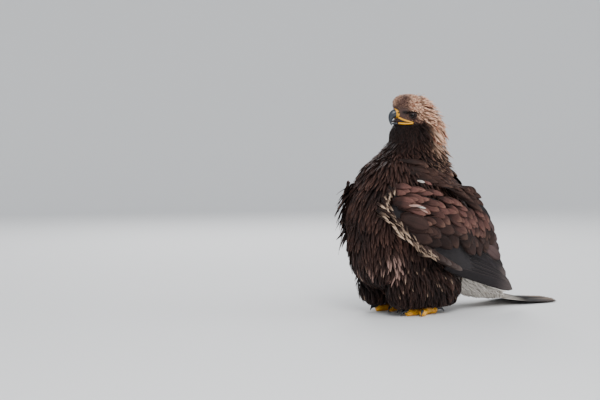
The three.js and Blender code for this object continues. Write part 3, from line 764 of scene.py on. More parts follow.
# Chance to this power lets few feathers be light.
RARE_POWER = 4
# In the gold: dark hackles, deep feathers, and how the pale fringes spread.
HACKLE_DARKENING = 0.8
DEEPEST, DEEP_CHANCE = 0.6, (0.75, 1.0)
DEEP_RISE, DEEP_START = 1.5, 0.45
FRINGE_DEPTH, FRINGE_SPREAD, HACKLE_FRINGE = 0.8, 1.3, 0.45
# On the face: how streaks rise with chance and with the pattern, and how much they cover.
STREAK_RISE, STREAK_START, STREAK_PATTERN = 1.3, 0.3, 0.5
FACE_COVER, FACE_FRINGE_COVER, FACE_FRINGE_PALE = 0.95, 0.8, 0.6
# Colours laid over the rest: the tint and how much of it, and the fringe and how much of it.
LAYERS = {
    "throat": (BLACK_BROWN, 0.75, DARK_BROWN, 0.75),
    "lores": (GREY_BROWN, 0.7, CREAM, 0.5),
    "brow": (BLACK_BROWN, 1.0, BLACK_BROWN, 0.9),
    "spot": (PINK_WHITE, 0.6, PINK_WHITE, 0.9),
    "fleck": (CREAM, 0.0, CREAM, 0.6),
    "rump": (WHITE, 1.0, WHITE, 1.0),
}
# Pale places in the dark plumage: middle, radius and the share of feathers that are pale.
PALE_SPOTS = [
    ((-114, -78, 152), 38, 0.42),
    ((-104, -94, 122), 30, 0.3),
    ((-144, -34, 132), 18, 0.35),
    ((-152, 24, 140), 22, 0.25),
    ((-118, 24, 366), 9, 0.95),
]
FLECK_SHARE = 0.06
# How light a feather's base is against its tint: on the body, less in the gold, and more on the rump. The
# darker base is painted shade under the feathers that lie over it, and the white rump has little of it.
SHADED_BASE_SHARE, GOLD_BASE, RUMP_BASE = 0.4, -0.1, 0.55


def blend(first, second, share):
    share = np.asarray(share, float)[:, None]
    return first * (1 - share) + second * share


def spot(points, middle, radius):
    """A soft round share that falls from 1 near a middle point to 0 at a radius."""
    return smoothstep(1, SPOT_CORE, np.linalg.norm(points - np.array(middle, float), axis=1) / radius)


def mottle(points, size):
    """A soft uneven pattern of 0 to 1 over the body."""
    at = (points / size).T
    waves = (np.sin(rate * at[i] + bend * np.sin(slow * at[k])) for i, rate, bend, k, slow in MOTTLE_WAVES)
    return np.clip(0.5 + sum(waves) / MOTTLE_SPAN, 0, 1)


def head_gold(seen):
    """How golden the plumage is: crown, cheeks behind the eyes, and nape."""
    limit = GOLD_FORWARD + sum(step * smoothstep(start, end, seen["up"]) for step, start, end in GOLD_STEPS)
    head = smoothstep(limit + GOLD_SOFTNESS, limit - GOLD_SOFTNESS, seen["forward"]) * share_in("head", seen)
    return np.maximum.reduce([head, share_in("nape", seen), RIDGE_GOLD * share_in("ridge", seen)])


def brow_line(seen):
    """The dark line over each eye, which droops behind it."""
    along = seen["forward"] - EYE_FORWARD
    line = EYE_LEVEL - HEAD_MIDDLE[2] + BROW_RISE - BROW_DROOP * np.minimum(along, 0) ** 2
    reach = smoothstep(*BROW_BEHIND, along) * smoothstep(*BROW_AHEAD, along)
    return smoothstep(*BROW_EDGE, np.abs(seen["up"] - line)) * reach * (seen["aside"] > BROW_ASIDE)


def body_colours(points, seen, chance):
    """Tint and fringe of the dark plumage, before lighter colours are laid over them."""
    warm = WARM_MOST * mottle(points, BODY_PATCHES) * (WARM_STEADY + (1 - WARM_STEADY) * chance)
    tint = blend(BLACK_BROWN, WARM_BROWN, np.clip(WARM_LEAST + warm, 0, 1))
    tint = blend(tint, BLACK_BROWN, LOW_DARKENING * share_in("low_parts", seen))
    fringe = blend(tint * BODY_FRINGE, STREAK_BROWN, BODY_STREAKS * chance**RARE_POWER)
    return tint, blend(fringe, STREAK_BROWN, BACK_STREAKS * share_in("back", seen))


def with_gold(tint, fringe, gold, seen, chance):
    """The dark hackles on the neck, and the gold over them."""
    hackles = share_in("hackles", seen)
    deep = blend(DEEP_GOLD, FACE_BROWN, DEEPEST * smoothstep(*DEEP_CHANCE, chance))
    mixed_gold = blend(PALE_GOLD, deep, np.clip(DEEP_RISE * chance - DEEP_START, 0, 1))
    pale = blend(PALE_GOLD, deep, FRINGE_DEPTH * chance**RARE_POWER)
    tint = blend(blend(tint, BLACK_BROWN, HACKLE_DARKENING * hackles), mixed_gold, gold)
    return tint, blend(fringe, pale, np.clip(gold * FRINGE_SPREAD + HACKLE_FRINGE * hackles, 0, 1))


def with_face(tint, fringe, points, share, chance):
    """The streaks on forehead and cheeks."""
    pattern = STREAK_PATTERN * (mottle(points, FACE_PATCHES) - 0.5)
    streak = np.clip(chance * STREAK_RISE - STREAK_START + pattern, 0, 1)
    streaks = blend(FACE_DARK, FACE_PALE, streak)
    edges = blend(FACE_FRINGE, PALE_GOLD, FACE_FRINGE_PALE * streak)
    return blend(tint, streaks, FACE_COVER * share), blend(fringe, edges, FACE_FRINGE_COVER * share)


def with_layer(tint, fringe, share, layer):
    """Tint and fringe with one of the layers over them."""
    over, most, edge, edge_most = LAYERS[layer]
    return blend(tint, over, most * share), blend(fringe, edge, edge_most * share)


def markings(points, chance):
    """Base, tint and fringe of the plumage. Chance varies them from feather to feather."""
    seen = measures(points)
    gold, rump = head_gold(seen), share_in("rump", seen)
    looks = with_gold(*body_colours(points, seen, chance), gold, seen, chance)
    looks = with_layer(*looks, share_in("throat", seen) * (1 - gold), "throat")
    looks = with_face(*looks, points, share_in("face", seen) * (1 - gold), chance)
    looks = with_layer(*looks, share_in("lores", seen), "lores")
    looks = with_layer(*looks, brow_line(seen), "brow")
    for middle, radius, share in PALE_SPOTS:
        looks = with_layer(*looks, spot(points, middle, radius) * (chance > 1 - share), "spot")
    looks = with_layer(*looks, (chance > 1 - FLECK_SHARE) * share_in("lowest_parts", seen), "fleck")
    tint, fringe = with_layer(*looks, rump, "rump")
    # The base is the tint darkened as painted shade, where the feathers overlap.
    return tint * (SHADED_BASE_SHARE + GOLD_BASE * gold + RUMP_BASE * rump)[:, None], tint, fringe


# Coats of small feathers, and which way they lie.

# Each coat: name, zone, outline, spacing, length, half width, height at root and tip, seed.
COAT = [
    ("coat_face", "face", "lock", 2.4, 9.5, 1.5, (-0.6, 2.8), 11),
    ("coat_crown", "crown", "hackle", 3.6, 20, 2.2, (-0.8, 9.0), 12),
    ("coat_nape", "nape", "hackle", 4.8, 38, 3.2, (-1.0, 14.0), 13),
    ("coat_crown_tips", "crown", "hackle", 5.5, 14, 1.5, (-0.8, 15.0), 21),
    ("coat_nape_tips", "nape", "hackle", 8.0, 34, 2.6, (-1.0, 18.0), 22),
    ("coat_chin", "chin", "lock", 2.8, 14, 1.8, (-0.8, 4.0), 19),
    ("coat_throat", "throat", "lock", 4.2, 28, 2.8, (-1.0, 8.0), 14),
    ("coat_breast", "breast", "lock", 5.6, 44, 4.5, (-1.5, 12.0), 15),
    ("coat_right_flank", "right_flank", "lock", 8.0, 58, 8.0, (0.0, 34.0), 23),
    ("coat_mantle", "mantle", "covert", 13.0, 62, 11.0, (-1.5, 12.0), 16),
    ("coat_belly", "belly", "lock", 5.4, 36, 3.8, (-1.5, 10.0), 17),
    ("coat_rump", "rump", "lock", 4.6, 34, 4.0, (-1.5, 7.0), 18),
]
HEAD_COATS = ("coat_face", "coat_crown", "coat_crown_tips")
# Feathers stand further apart along the lie of the plumage than across it.
ALONG_HEAD = np.array([0.6, 1.0, 0.75])
DOWN_BODY = np.array([1.0, 1.0, 0.6])
COAT_PATCH = 0.0015
BILL_ROOT = head_point(60, 0, -2)
HEAD_DROOP = np.array([0.1, 0.0, -0.45])
# How far back the body's plumage lies: on the back, and how much less on the flanks.
BACKWARD, LESS_ON_FLANKS = 0.5, 0.45
TAIL_FLOW = np.array([1.0, 0.0, -0.9])
# How the feathers of a coat differ: sway, swirl, length, width, ruffle of hackles and of others, and lean.
SWAY, SWIRL = 0.13, 0.5
LENGTHS, WIDTHS = (0.75, 1.2), (0.8, 1.2)
HACKLE_RUFFLE, RUFFLE = 0.24, 0.12
LEAN, LEAN_SHARE = 0.22, 0.25
RISE_POWER = 0.8
# Near the bill the feathers are shorter and narrower.
SHORTER_AT_BILL, NARROWER_AT_BILL = 0.45, 0.3
# Places along a feather that have to be clear of the eye, the room round it, and the share kept each time.
EYE_TRIES, EYE_ROOM, EYE_KEPT = (1.0, 0.7, 0.45), 4, 0.72
# The unwrap of the skin: its margin in the map, and the height that fills it.
MAP_MARGIN, MAP_HEIGHT = 0.02, 560


def flow_over(points, outs):
    """The lie of the plumage: away from the bill on the head, and down and back below it."""
    seen = measures(points)
    away = unit(points - BILL_ROOT) + HEAD_DROOP
    back = BACKWARD - LESS_ON_FLANKS * share_in("flanks", seen)
    down = unit(np.stack([back, 0 * back, 0 * back - 1], -1))
    aft = share_in("tail_base", seen)
    flow = away * share_in("head_flow", seen)[:, None] + down * share_in("body_flow", seen)[:, None]
    flow = flow * (1 - aft[:, None]) + TAIL_FLOW * aft[:, None]
    return unit(flow - outs * np.sum(flow * outs, axis=1, keepdims=True))


def trunk_map(points):
    """Where a root lies on an unwrap of the skin: round the body, and up it."""
    shares = np.column_stack([(trunk_angle(points) + np.pi) / FULL_TURN, points[:, 2] / MAP_HEIGHT])
    return MAP_MARGIN + (1 - 2 * MAP_MARGIN) * shares


def clear_of_eyes(roots, flows, lengths):
    """Shorter feathers where they would lie over an eye."""
    for share in EYE_TRIES:
        tips = roots + flows * (lengths * share)[:, None]
        lengths = np.where(near_eye(tips) < EYE_RADIUS + EYE_ROOM, lengths * EYE_KEPT, lengths)
    return lengths


def coat_roots(ground, zone, spacing, squeeze, rng):
    """Places for a coat's feathers, the directions out of the skin there, and the lie of the feathers."""
    wanted = in_zone(ZONES[zone], ground.seen)
    if zone == "face":
        wanted = wanted & ~in_zone(BILL_ZONE, ground.seen)
    roots, outs = ground.scatter(wanted, spacing, squeeze, rng)
    flows = flow_over(roots, outs)
    sway = rng.normal(0, SWAY, len(roots)) + SWIRL * (mottle(roots, FLOW_PATCHES) - 0.5)
    return roots, outs, unit(flows + np.cross(outs, flows) * sway[:, None])


def coat_paths(ground, roots, outs, flows, lengths, outline, heights, rng):
    """Paths of a coat's feathers, which rise from root to tip, and their outward directions."""
    shares = OUTLINE_SHARES[outline]
    low, high = heights
    ruffle = HACKLE_RUFFLE if outline == "hackle" else RUFFLE
    paths, tops = ground.lay(roots, outs, flows, lengths, shares)
    lift = rng.normal(0, ruffle * high, len(roots))[:, None] * shares**2
    rise = low + (high - low) * shares**RISE_POWER
    paths = paths + tops * rise[:, None] + tops * lift[..., None]
    lean = np.cross(np.gradient(paths, axis=1), tops) * rng.normal(0, LEAN, len(roots))[:, None, None]
    return paths, unit(tops + unit(lean) * LEAN_SHARE)


def coat_piece(ground, feather, name, zone, outline, spacing, length, half, heights, seed):
    rng = np.random.default_rng(seed)
    on_head = name in HEAD_COATS
    roots, outs, flows = coat_roots(ground, zone, spacing, ALONG_HEAD if on_head else DOWN_BODY, rng)
    count = len(roots)
    near = share_in("bill_root", measures(roots))
    lengths = length * rng.uniform(*LENGTHS, count) * (1 - SHORTER_AT_BILL * near)
    lengths = clear_of_eyes(roots, flows, lengths)
    paths, outs = coat_paths(ground, roots, outs, flows, lengths, outline, heights, rng)
    looks = markings(roots, rng.random(count))
    halves = half * rng.uniform(*WIDTHS, count) * (1 - NARROWER_AT_BILL * near)
    row = Row(paths, outs, halves, looks)
    mesh = feather_mesh(name, row, outline, SMALL_VANE, trunk_map(roots), COAT_PATCH, rng)
    add_piece(name, mesh, feather, "gold_plumage" if on_head else "brown_plumage")


# The folded wings, laid tier over tier.

WING_TOP = [(-108, 314), (-84, 320), (-50, 310), (16, 284), (64, 260), (138, 242)]
COVERT_END = [(-64, 196), (-14, 176), (44, 180), (104, 152), (146, 152), (172, 180)]
# Rows of coverts from the top of the wing to the flight feathers: number, half width and length.
COVERT_ROWS = [(19, 7, 42), (18, 8, 48), (16, 10, 56), (14, 12.5, 66), (12, 15.5, 76), (10, 18, 88)]
FRONT_EDGE = [
    (-124, 308),
    (-142, 292),
    (-144, 258),
    (-132, 226),
    (-112, 196),
    (-84, 174),
    (-56, 154),
    (-30, 140),
]
# Longer feathers. Tips are a line of x and z. Lengths and slopes in degrees are the first's and the last's.
Tier = namedtuple("Tier", "name tips number lengths half lift slopes tint fringe")
PRIMARY_TIPS = [(278, 46), (272, 54), (262, 64), (246, 76), (232, 88)]
SECONDARY_TIPS = [(240, 86), (226, 102), (212, 122), (196, 150), (180, 184), (162, 220)]
TERTIAL_TIPS = [(204, 130), (190, 164), (172, 200)]
ALULA_TIPS = [(-46, 156), (-22, 146), (4, 134), (30, 124), (54, 114)]
FLIGHT_TIERS = [
    Tier("primaries", PRIMARY_TIPS, 7, (280, 220), 13, -8, (17.5, 27), SLATE, SLATE_EDGE),
    Tier("secondaries", SECONDARY_TIPS, 14, (180, 110), 17, -4, (27, 46), SLATE, SLATE_EDGE),
    Tier("tertials", TERTIAL_TIPS, 4, (120, 90), 15, 3, (34, 46), GREY_BROWN, BLACK_BROWN),
    Tier("alula", ALULA_TIPS, 6, (90, 110), 8, 0, (42, 24), DARK_BROWN, SLATE_EDGE),
]
# Feathers that stand out by colour or size: tip x and z, length, half width, slope, lift and colour.
MARKED_FEATHERS = [
    (-64, 226, 62, 19, 30, 11, DARK_BROWN * 1.1),
    (-82, 280, 26, 3.2, 4, 13, PINK_WHITE),
    (-70, 273, 24, 2.6, 24, 13, WHITE * 0.6),
    (-66, 262, 20, 2.4, 44, 13, PINK_WHITE * 0.8),
    (-62, 336, 13, 3.4, 25, 10, WHITE * 0.6),
    (-44, 330, 18, 4, 35, 10, RED_BROWN * 1.2),
]
RIGHT_MARKED = 2
# Scapulars lie in rows from the shoulder over the top of the wing. Each row is a step behind the last.
SCAPULAR_LINE = [(-24, 344), (14, 328), (54, 304), (94, 278), (132, 254)]
SCAPULAR_ROWS, SCAPULAR_COUNT = 3, 13
SCAPULAR_STEP = np.array([-5.0, 16.0])
MARGIN_ROWS, MARGIN_COUNT = 2, 38
MARGIN_STEP = np.array([7, 6])
# The flesh of the wing: lines along its front and back as x and z.
WING_FRONT = [(-122, 304), (-130, 262), (-118, 216), (-84, 182), (-44, 156), (1, 138), (55, 120), (130, 96)]
WING_BACK = [(-100, 316), (-20, 292), (60, 254), (126, 226), (144, 196), (152, 150), (164, 122), (180, 100)]
CORE_STATIONS, CORE_COLUMNS = 16, 9
CORE_HALF, CORE_TAPER, CORE_DEPTH, CORE_EDGE = 5, 3.5, 8, 0.2

# How the feathers of a row differ: place in the row, tip, slope, length, lift, roll with its spread, width.
Play = namedtuple("Play", "along tip slope length lift roll width")
COVERT_PLAY = Play(0.012, 4.0, 0.13, (0.8, 1.12), 0.6, (0.13, 0.11), (0.8, 1.2))
FLIGHT_PLAY = Play(0, 1.0, 0, (0.97, 1.03), 0, (0.3, 0), (1, 1))
MARGIN_PLAY = Play(0.3, 2.2, 0.26, (0.7, 1.25), 1.3, (0, 0.3), (2.2, 4.2))
SCAPULAR_PLAY = Play(0, 2.5, 0.08, (0.85, 1.1), 0, (0.12, 0.2), (0.7, 1.2))
STAGGER = 0.5
MARKED_ROLL = 0.1
# How much a feather sags from root to tip, in radians.
COVERT_SAG, FLIGHT_SAG, MARGIN_SAG, SCAPULAR_SAG, MARKED_SAG = 0.16, 0.03, 0.0, 0.2, 0.1
# Coverts: slope in degrees at the bend, further back and low down, and where that starts and its reach.
COVERT_SLOPE, BACK_SLOPE, LOW_SLOPE = 10, 38, 20
BACK_FROM, BACK_OVER = -90, 230
LOW_FROM, LOW_OVER = 290, 130
# Coverts: lift of the top row, fall of the lowest one, rise along a row, and shorter ones at the bend.
COVERT_LIFT, COVERT_FALL, COVERT_RISE = 8, 5, 2.0
BEND_LENGTH, BEND_REACH = 0.72, (-110, -40)
FLIGHT_RISE = 3
# The margin: slope in degrees and its fall, length and its gain, lift by row, and room before the edge.
MARGIN_SLOPE, MARGIN_SLOPE_FALL, MARGIN_SLOPE_POWER = 100, 56, 0.8
MARGIN_LENGTH, MARGIN_GAIN = 17, 22
MARGIN_LIFT, MARGIN_LAYER, MARGIN_ROOM = 2.5, 1.6, 12.0
# Scapulars: slope in degrees and its gain, length and its loss by row, lift, and half width.
SCAPULAR_SLOPE, SCAPULAR_GAIN = 24, 14
SCAPULAR_LENGTH, SCAPULAR_LOSS = 70, 12
SCAPULAR_LIFT, SCAPULAR_LAYER, SCAPULAR_HALF = 3.0, 0.6, 8
SHOULDER_OVER_WING, SHOULDER_LEVELS, SHOULDER_LEAST = 9, (350, 318), 0.02
# How far a feather's tip rises and its root sinks, on the wing and over the shoulder.
TIP_RISE, ROOT_SINK = 5, 4
SCAPULAR_TIP_RISE, SCAPULAR_ROOT_SINK = 4, 6
# Colours in a row: the darkest share, how few are dark, the lift of fringes, and how they wear.
DARKEST, DARK_POWER, DARK_SPREAD = 0.42, 1.5, 0.5
WORN_FRINGE, WORN_LEAST, WORN_MOST = 1.3, 0.2, 0.7
# The low coverts are darker, in tint and in fringe.
LOW_COVERT = DARK_BROWN * 0.6
LOW_TINT, LOW_TINT_ROWS = 0.95, (0.35, 0.85)
LOW_FRINGE, LOW_FRINGE_ROWS = 0.7, (0.4, 0.95)
# The bases of coverts, scapulars, flight feathers and marked feathers against their tints: darker, as painted
# shade under the feathers over them.
COVERT_SHADED_BASE, SCAPULAR_SHADED_BASE, FLIGHT_SHADED_BASE, MARKED_SHADED_BASE, MARKED_FRINGE = 0.3, 0.5, 0.8, 0.7, 1.2
SCAPULAR_TINT, SCAPULAR_FRINGE, SCAPULAR_SPREAD = WARM_BROWN * 0.36, STREAK_BROWN * 0.6, 0.8
# The margin's pale feathers grow fewer by row. On the right wing most are darkened as painted shade on the
# far wing.
PALE_FALL, PALE_START, PALE_ROW_LOSS, RIGHT_SHADE, MARGIN_FRINGE = 1.1, 0.15, 0.4, 0.9, 0.6
CELL_SHARE = 0.42
WING_SEED = 31


def feather_slope(x, z):
    """How far below level the wing's coverts point, in radians."""
    back = np.clip((x - BACK_FROM) / BACK_OVER, 0, 1)
    low = np.clip((LOW_FROM - z) / LOW_OVER, 0, 1)
    return np.radians(COVERT_SLOPE + BACK_SLOPE * back + LOW_SLOPE * low)


def front_of(z):
    """The wing's front edge at each height."""
    x, level = np.array(FRONT_EDGE[::-1], float).T
    return np.interp(z, level, x)


def swept_back(tips, slopes, lengths, t, sag):
    """Places along feathers that end at their tips, as x and z."""
    slope = slopes[:, None] - sag * (1 - t)
    reach = lengths[:, None] * (1 - t)
    return tips[:, 0:1] - np.cos(slope) * reach, tips[:, 1:2] + np.sin(slope) * reach


def on_sheet(place, side, x, z, lift):
    """Paths on a sheet, and the directions that stand out from it."""
    paths = place(side, x, z, lift)
    outs = np.cross(place(side, x + 1, z, lift) - paths, place(side, x, z + 1, lift) - paths)
    return paths, unit(outs) * np.sign(outs[..., 1:2] * side)


def wing_paths(side, tips, slopes, lengths, lifts, outline, sag, room=0.0):
    """Paths on the wing's sheet. Room is how far roots may pass its front edge."""
    t = OUTLINE_SHARES[outline][None, :]
    x, z = swept_back(tips, slopes, lengths, t, sag)
    lift = lifts[:, None] + TIP_RISE * t**2 - ROOT_SINK * (1 - t) ** 2
    return on_sheet(wing_place, side, np.maximum(x, front_of(z) - room), z, lift)


def rolled(paths, outs, angles):
    """Outward directions rolled about each feather, which lifts one edge."""
    across = unit(np.cross(np.gradient(paths, axis=1), outs))
    return unit(outs + across * np.tan(angles)[:, None, None])


def wing_looks(base, tint, fringe, count, rng, spread=DARK_SPREAD):
    """Colours of a row of wing feathers, some of them darker. The base is the tint darkened as painted shade
    under the feathers over it.
    """
    chance, worn = rng.random((2, count))
    tints = blend(tint, tint * DARKEST, chance**DARK_POWER * spread)
    return tints * base, tints, blend(tints * WORN_FRINGE, fringe, WORN_LEAST + WORN_MOST * worn**2)


def covert_looks(down, count, rng):
    """Colours of a row of coverts, by how far down the wing it lies."""
    tint = blend(RED_BROWN[None], LOW_COVERT, [LOW_TINT * smoothstep(*LOW_TINT_ROWS, down)])
    fringe = STREAK_BROWN * (1 - LOW_FRINGE * smoothstep(*LOW_FRINGE_ROWS, down))
    return wing_looks(COVERT_SHADED_BASE, tint, fringe, count, rng, 1.0)


def covert_row(side, row, rng):
    number, half, length = COVERT_ROWS[row]
    play = COVERT_PLAY
    down = row / (len(COVERT_ROWS) - 1)
    along = (np.arange(number) + STAGGER * (row % 2)) / (number - STAGGER)
    along = np.clip(along + rng.normal(0, play.along, number), 0, 1)
    tips = curve_through(WING_TOP, along) * (1 - down) + curve_through(COVERT_END, along) * down
    tips = tips + rng.normal(0, play.tip, (number, 2))
    slope = feather_slope(tips[:, 0], tips[:, 1]) + rng.normal(0, play.slope, number)
    at_bend = BEND_LENGTH + (1 - BEND_LENGTH) * smoothstep(*BEND_REACH, tips[:, 0])
    lengths = length * rng.uniform(*play.length, number) * at_bend
    lifts = COVERT_LIFT - COVERT_FALL * down + COVERT_RISE * along + rng.normal(0, play.lift, number)
    paths, outs = wing_paths(side, tips, slope, lengths, lifts, "covert", COVERT_SAG)
    outs = rolled(paths, outs, rng.normal(*play.roll, number))
    looks = covert_looks(down, number, rng)
    return Row(paths, outs, half * rng.uniform(*play.width, number), looks)


def flight_row(side, tier, rng):
    play, number = FLIGHT_PLAY, tier.number
    along = np.linspace(0, 1, number)
    tips = curve_through(tier.tips, along) + rng.normal(0, play.tip, (number, 2))
    slope = np.radians(np.linspace(*tier.slopes, number))
    lengths = np.linspace(*tier.lengths, number) * rng.uniform(*play.length, number)
    lifts = tier.lift + FLIGHT_RISE * along
    paths, outs = wing_paths(side, tips, slope, lengths, lifts, "flight", FLIGHT_SAG)
    outs = rolled(paths, outs, np.full(number, play.roll[0]))
    looks = wing_looks(FLIGHT_SHADED_BASE, tier.tint, tier.fringe, number, rng)
    return Row(paths, outs, np.full(number, float(tier.half)), looks)


def margin_looks(side, row, chance):
    """Colours along the wing's edge, most of them pale on the left wing and dark on the right. The right
    wing's darkness is painted shade, and the dark bases are painted shade between the feathers.
    """
    shade = RIGHT_SHADE if side == RIGHT else 0.0
    dark = np.clip(chance * PALE_FALL - PALE_START + PALE_ROW_LOSS * row + shade, 0, 1)
    tint = blend(CREAM, DARK_BROWN, dark)
    return blend(DARK_BROWN, BLACK_BROWN, chance), tint, blend(CREAM, tint, chance * MARGIN_FRINGE)


def margin_row(side, row, rng):
    """Small ruffled feathers along the front edge of the wing."""
    play, count = MARGIN_PLAY, MARGIN_COUNT
    along = np.arange(count) + STAGGER * row + rng.uniform(-play.along, play.along, count)
    along = np.clip(along / count, 0, 1)
    tips = curve_through(FRONT_EDGE, along) + rng.normal(0, play.tip, (count, 2)) + MARGIN_STEP * row
    slope = np.radians(MARGIN_SLOPE - MARGIN_SLOPE_FALL * along**MARGIN_SLOPE_POWER)
    slope = slope + rng.normal(0, play.slope, count)
    lengths = (MARGIN_LENGTH + MARGIN_GAIN * along) * rng.uniform(*play.length, count)
    lifts = MARGIN_LIFT + row * MARGIN_LAYER + rng.normal(0, play.lift, count)
    paths, outs = wing_paths(side, tips, slope, lengths, lifts, "lock", MARGIN_SAG, MARGIN_ROOM)
    looks = margin_looks(side, row, rng.random(count))
    outs = rolled(paths, outs, rng.normal(*play.roll, count))
    return Row(paths, outs, rng.uniform(*play.width, count), looks)


def marked_row(side):
    """One broad covert that lies over its neighbours, and the light ones near it."""
    chosen = MARKED_FEATHERS if side == LEFT else MARKED_FEATHERS[:RIGHT_MARKED]
    x, z, length, half, slope, lift = np.array([row[:-1] for row in chosen], float).T
    tips, slope = np.column_stack([x, z]), np.radians(slope)
    paths, outs = wing_paths(side, tips, slope, length, lift, "covert", MARKED_SAG)
    tints = np.array([row[-1] for row in chosen])
    outs = rolled(paths, outs, np.full(len(x), MARKED_ROLL))
    return Row(paths, outs, half, (tints * MARKED_SHADED_BASE, tints, tints * MARKED_FRINGE))


def shoulder_place(side, x, z, lift):
    """Points over the shoulder: on the trunk or over the wing's top, whichever is further out."""
    x, z, lift = np.broadcast_arrays(x, z, lift)
    middle, length, width = (smooth(TRUNK, column, z) for column in (1, 2, 3))
    inside = np.clip(1 - np.abs((x - middle) / length) ** ROUNDNESS, SHOULDER_LEAST, 1)
    trunk = width * inside ** (1 / ROUNDNESS)
    over_wing = (flank_out(x, z) + SHOULDER_OVER_WING) * smoothstep(*SHOULDER_LEVELS, z)
    return np.stack([x, side * (np.maximum(trunk, over_wing) + lift), z], -1)


def scapular_row(side, row, rng):
    play, count = SCAPULAR_PLAY, SCAPULAR_COUNT
    t = OUTLINE_SHARES["covert"][None, :]
    along = np.clip((np.arange(count) + STAGGER * (row % 2)) / count, 0, 1)
    tips = curve_through(SCAPULAR_LINE, along) + rng.normal(0, play.tip, (count, 2)) + SCAPULAR_STEP * row
    slope = np.radians(SCAPULAR_SLOPE + SCAPULAR_GAIN * along) + rng.normal(0, play.slope, count)
    lengths = (SCAPULAR_LENGTH - SCAPULAR_LOSS * row) * rng.uniform(*play.length, count)
    x, z = swept_back(tips, slope, lengths, t, SCAPULAR_SAG)
    lift = SCAPULAR_LIFT + SCAPULAR_LAYER * row + SCAPULAR_TIP_RISE * t - SCAPULAR_ROOT_SINK * (1 - t) ** 2
    paths, outs = on_sheet(shoulder_place, side, x, z, lift)
    looks = wing_looks(SCAPULAR_SHADED_BASE, SCAPULAR_TINT, SCAPULAR_FRINGE, count, rng, SCAPULAR_SPREAD)
    outs = rolled(paths, outs, rng.normal(*play.roll, count))
    return Row(paths, outs, SCAPULAR_HALF * rng.uniform(*play.width, count), looks)


def cell_map(count):
    """A cell of the bake map for each vane, in rows, and the half size of its patch."""
    columns = int(np.ceil(np.sqrt(count)))
    index = np.arange(count)
    return np.column_stack([index % columns + 0.5, index // columns + 0.5]) / columns, CELL_SHARE / columns


def vane_piece(name, rows, outline, feather, slot, rng, *nodes, vane=BROAD_VANE):
    """A piece of single feathers from one or more rows."""
    paths, outs, halves, looks = zip(*rows)
    looks = [np.concatenate(colours) for colours in zip(*looks)]
    row = Row(np.concatenate(paths), np.concatenate(outs), np.concatenate(halves), looks)
    mesh = feather_mesh(name, row, outline, vane, *cell_map(len(row.paths)), rng)
    add_piece(name, mesh, feather, slot, *nodes)


def core_shell(side):
    """The flesh of the wing, all under feathers."""
    rings = []
    across = np.linspace(0, 1, CORE_COLUMNS)
    thinning = np.maximum(np.sin(across * np.pi) ** 0.5, CORE_EDGE)
    front, back = curve_through(WING_FRONT, CORE_STATIONS), curve_through(WING_BACK, CORE_STATIONS)
    for share, a, b in zip(np.linspace(0, 1, CORE_STATIONS), front, back):
        x, z = (a[None] * (1 - across[:, None]) + b[None] * across[:, None]).T
        half = (CORE_HALF - CORE_TAPER * share) * thinning
        outer, inner = (wing_place(side, x, z, lift - CORE_DEPTH) for lift in (half, -half))
        rings.append(np.concatenate([outer, inner[::-1]]))
    return loft(rings) if side == LEFT else inside_out(*loft(rings))


def build_wing(side, feather, under):
    rng = np.random.default_rng(WING_SEED)
    name = SIDE_NAMES[side]
    wing = "wing_" + name
    for tier in FLIGHT_TIERS:
        rows = [flight_row(side, tier, rng)]
        vane_piece(f"{tier.name}_{name}", rows, "flight", feather, "flight_feathers", rng, wing)
    coverts = [covert_row(side, row, rng) for row in range(len(COVERT_ROWS))] + [marked_row(side)]
    vane_piece("coverts_" + name, coverts, "covert", feather, "wing_coverts", rng, wing)
    margin = [margin_row(side, row, rng) for row in range(MARGIN_ROWS)]
    vane_piece("wing_margin_" + name, margin, "lock", feather, "wing_coverts", rng, wing, vane=SMALL_VANE)
    scapulars = [scapular_row(side, row, rng) for row in range(SCAPULAR_ROWS)]
    vane_piece("scapulars_" + name, scapulars, "covert", feather, "brown_plumage", rng)
    core = mesh_of("wing_core", *core_shell(side))
    set_point_values(core, "tint", same_colour(SLATE, len(core.vertices)))
    add_piece("wing_core_" + name, core, under, "wing_coverts", wing)


def same_colour(colour, count):
    return np.repeat(colour[None], count, axis=0)


# The tail.

TAIL_FEATHERS, TAIL_HALF = 12, 18.0
TAIL_PLAY = 2.5
TAIL_SEED = 51
# The tail feathers start at this x, and the outer ones end this much sooner.
TAIL_START, OUTER_LOSS = 186, 24
# Half width of the fan at its root and what it gains, fall of the outer roots, and rise of the middle.
FAN_ROOT, FAN_GAIN = 28, 44
FAN_FALL, FAN_CROWN, FAN_CLEARANCE = 26, 3.5, 0.4
FAN_LEAN, FAN_TILT = 0.12, 0.15
TAIL_TINT = SLATE * 0.5
TAIL_FRINGE = 0.5
# Coverts over the tail's base: rows, number in a row, the first root, the step and the length by row.
TAIL_COVERT_ROWS, TAIL_COVERTS = 6, 8
TAIL_COVERT_START, TAIL_COVERT_STEP = 104, 18
TAIL_COVERT_LENGTH, TAIL_COVERT_GAIN = 70, 4
TAIL_COVERT_SIDE, TAIL_COVERT_EDGE, TAIL_COVERT_RISE, TAIL_COVERT_LEAN = 0.96, 0.05, 2, 0.4
TAIL_COVERT_WIDTHS = (10, 14)
# They turn pale towards the tail, and are white at its sides.
PALE_LEAST, PALE_BY_ROW, WHITE_SIDES = 0.15, 0.12, (0.4, 0.7)
# Their bases are the tint darkened as painted shade under the coverts over them, and lightened where the
# coverts are white.
TAIL_COVERT_SHADED_BASE, WHITE_BASE = 0.6, 0.36


